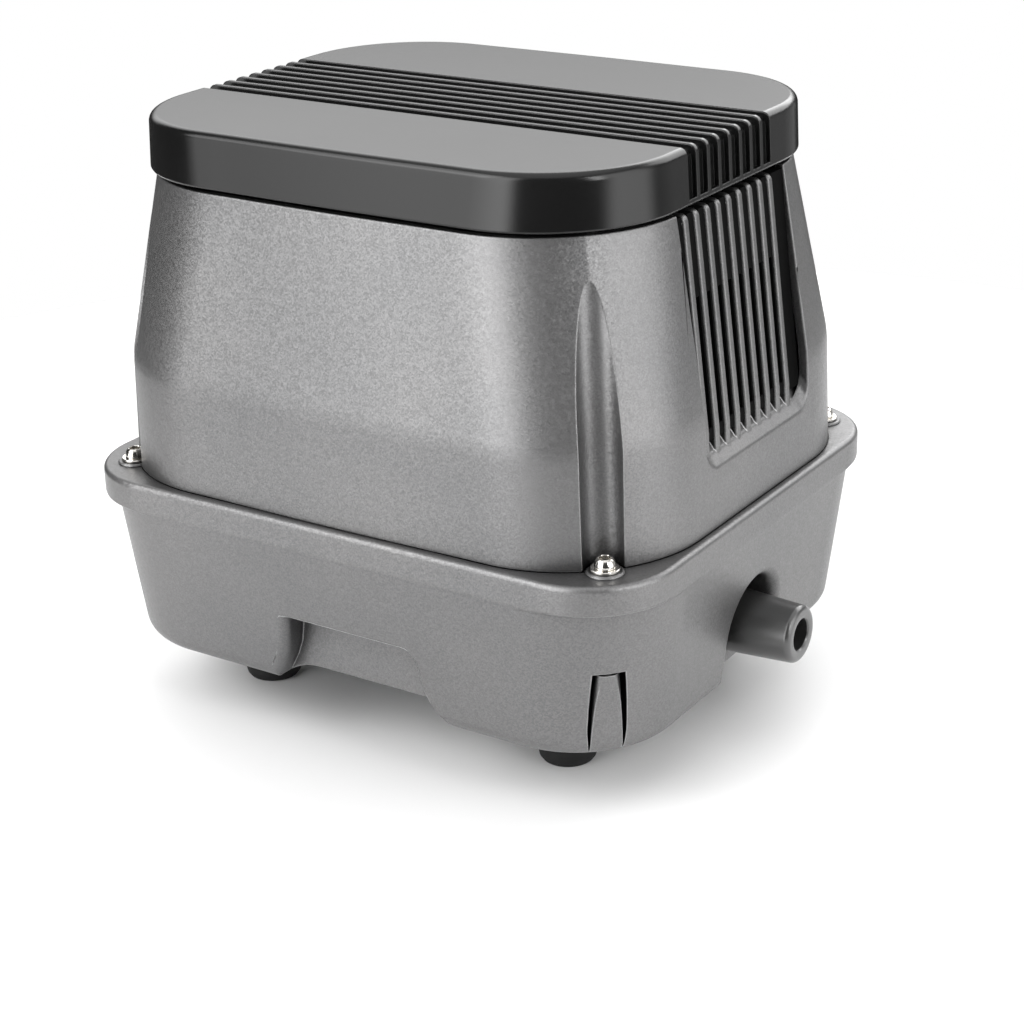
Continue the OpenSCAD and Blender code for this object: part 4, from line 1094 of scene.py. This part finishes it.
def make_diaphragm(word, side):
    """Rubber disc with a rolled fold, fixed at its rim and driven at its middle."""
    node = "diaphragm_" + word
    lo, hi = node_box(node)
    motor_z = (lo.z + hi.z) / 2
    x0, hole, fold, clamp, r_rim = 50.7, 3.1, 19.5, 26.1, (hi.z - lo.z) / 2
    profile = [(hole, 0), (14, 0)]
    profile += [(fold + c, s) for c, s in fillet(3.9, 180, 0, 10)]
    profile += [(25, 0), (clamp, -0.6), (r_rim, -0.6), (r_rim, 2.2), (clamp, 2.2), (25.2, 1.6)]
    profile += [(fold + c, 0.2 + s) for c, s in fillet(5.2, 12, 168, 10)]
    profile += [(13.5, 1.6), (hole, 1.6)]
    disc = moved(along_x(lathe(profile, 72, loop=True)), (x0, 0, motor_z))
    piece = build("diaphragm_disc_" + word, [on_side(disc, side)])
    piece.data.materials.append(materials["diaphragm_rubber"])
    smooth(piece.data, 40)
    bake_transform(piece)
    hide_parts(node)


def make_soft_mounts():
    """Barrel-shaped isolators under the motor, and the short hoses to the tank."""
    profile = [(1.7, 0), (6.6, 0), (7.0, 0.4), (7.0, 2.6), (6.4, 3.2), (5.4, 4.0), (5.1, 5.0),
               (5.4, 6.0), (6.4, 6.8), (7.0, 7.4), (7.0, 9.4), (6.6, 9.9), (1.7, 9.9)]
    mounts = at_corners(lathe(profile, 40, loop=True), 40, 36, 64.0)
    finished(build("soft_mounts", mounts), "gasket_rubber", "isolators")
    band = [(5.6, 0), (7.6, 0), (8.0, 0.5), (8.0, 2.2), (7.4, 2.6)]
    for word, _ in SIDES:
        lo, hi = local_box("air_hose_" + word)
        (x, y, _), low, high = (lo + hi) / 2, lo[2], hi[2]
        profile = [(r, low + up) for r, up in band] + [(7.2, (low + high) / 2)]
        profile += [(r, high - up) for r, up in band[::-1]]
        hose = moved(lathe(profile, 40, loop=True), (x, y, 0))
        finished(build("tank_hose_" + word, [hose]), "gasket_rubber", "air_hose_" + word)


make_upper_housing()
make_lower_housing()
make_lid()
make_feet()
make_sleeve()
make_screws()
make_foam()
make_grommet()
make_plug()
for word, side in SIDES:
    make_diaphragm(word, side)
make_soft_mounts()


# Stage, light and camera

# Each soft box: its two sides (degrees from the front towards the right), its foot and top
# (sine of the elevation), the softness of its sides (degrees), its brightness at both sides.
SOFT_BOXES = [
    (-47, 2, -0.9, 0.75, 6, 1.4, 5.0),
    (-47, 2, -0.16, 0.75, 6, 0.65, 1.4),
    (80, 122, -0.9, 0.7, 8, 3.5, 2.4),
    (-250, -112, 0.2, 0.75, 12, 2.1, 2.1),
    (128, 250, 0.3, 0.75, 10, 0.6, 1.6),
    (128, 250, -0.3, 0.16, 10, 0.4, 0.4),
    (128, 250, -0.9, -0.3, 10, 0.15, 0.15),
    (-200, 200, 0.82, 2.0, 1, 1.25, 1.25),
]
BOX_FADE = 0.12                     # softness of their foot and top
DARK = 0.04                         # brightness between them

# Each lamp: name, place, point it faces and size (metres), power (watts).
LAMPS = [
    ("key", (-0.7, -0.9, 1.1), (0, 0, 0.08), (0.9, 0.9), 9.5),
    ("rim", (0.2, 1.2, 0.9), (0, 0, 0.15), (1.6, 0.8), 12),
    ("strip", (0.9, -0.35, 0.5), (0.05, -0.05, 0.12), (0.16, 0.7), 3.0),
]
FLOOR_R = 0.46                      # metres


def make_floor():
    """Pale round table top; past its edge the white surround takes over."""
    s = Shader("studio_floor")
    soft = s.noise(400.0, 2.0)
    s.set("Base Color", s.mix(soft, grey(0.84), grey(0.86)))
    s.set("Roughness", s.span(s.noise(3.0), 0.55, 0.65))
    mesh = bpy.data.meshes.new("floor")
    t = np.linspace(0, 2 * math.pi, 96, endpoint=False)
    rim = FLOOR_R * np.column_stack([np.cos(t), np.sin(t), 0 * t])
    mesh.from_pydata(rim.tolist(), [], [tuple(range(len(t)))])
    mesh.materials.append(s.material)
    linked("floor", mesh)


def make_light(name, place, target, size, power):
    light = bpy.data.lights.new(name, "AREA")
    light.shape = "RECTANGLE"
    light.size, light.size_y = size
    light.energy = power
    lamp = linked(name, light)
    lamp.location = place
    lamp.rotation_mode = "QUATERNION"
    lamp.rotation_quaternion = (Vector(target) - Vector(place)).to_track_quat("-Z", "Y")


def make_world():
    """White surround for the eye; soft boxes with dark gaps between them for the reflections."""
    world = bpy.data.worlds.new("studio")
    bpy.context.scene.world = world
    world.use_nodes = True
    n = Nodes(world.node_tree)
    way = n.add("SeparateXYZ", Vector=n.add("TexCoord").outputs["Generated"])
    across, depth, up = (way.outputs[k] for k in "XYZ")
    azimuth = n.math("ARCTAN2", across, n.math("MULTIPLY", depth, -1.0))
    total = DARK
    for start, end, low, high, soft, start_level, end_level in SOFT_BOXES:
        start, end = math.radians(start), math.radians(end)
        level = n.span(azimuth, start_level, end_level, start, end)
        across_box = n.window(azimuth, start, end, math.radians(soft))
        box = n.math("MULTIPLY", across_box, n.window(up, low, high, BOX_FADE))
        total = n.math("ADD", total, n.math("MULTIPLY", box, level))
    seen = n.add("LightPath").outputs["Is Camera Ray"]
    strength = n.math("ADD", n.math("MULTIPLY", total, n.math("SUBTRACT", 1.0, seen)), seen)
    n.feed(world.node_tree.nodes["Background"], "Strength", strength)
    n.feed(world.node_tree.nodes["Background"], "Color", (1, 1, 1, 1))


def make_camera():
    """Camera at the side, height and distance (millimetres) that the casing's outlines give."""
    azimuth, elevation, roll = math.radians(33.24), math.radians(22.35), math.radians(-1.37)
    distance, target = 743.33, Vector((13.15, 0, 61.05))
    level = math.cos(elevation)
    back = Vector((math.sin(azimuth) * level, -math.cos(azimuth) * level, math.sin(elevation)))
    right = Vector((math.cos(azimuth), math.sin(azimuth), 0))
    up = back.cross(right)
    turned_right = right * math.cos(roll) + up * math.sin(roll)
    turned_up = up * math.cos(roll) - right * math.sin(roll)
    data = bpy.data.cameras.new("camera")
    data.sensor_width = 36
    data.lens = 80.04
    data.shift_x, data.shift_y = -0.0074, -0.013
    camera = linked("camera", data)
    place = (target + back * distance + Vector(CENTRE)) / MM
    turn = Matrix((turned_right, turned_up, back)).transposed().to_4x4()
    camera.matrix_world = Matrix.Translation(place) @ turn
    bpy.context.scene.camera = camera


make_floor()
make_world()
for lamp in LAMPS:
    make_light(*lamp)
make_camera()
bpy.context.scene.view_settings.view_transform = "Standard"
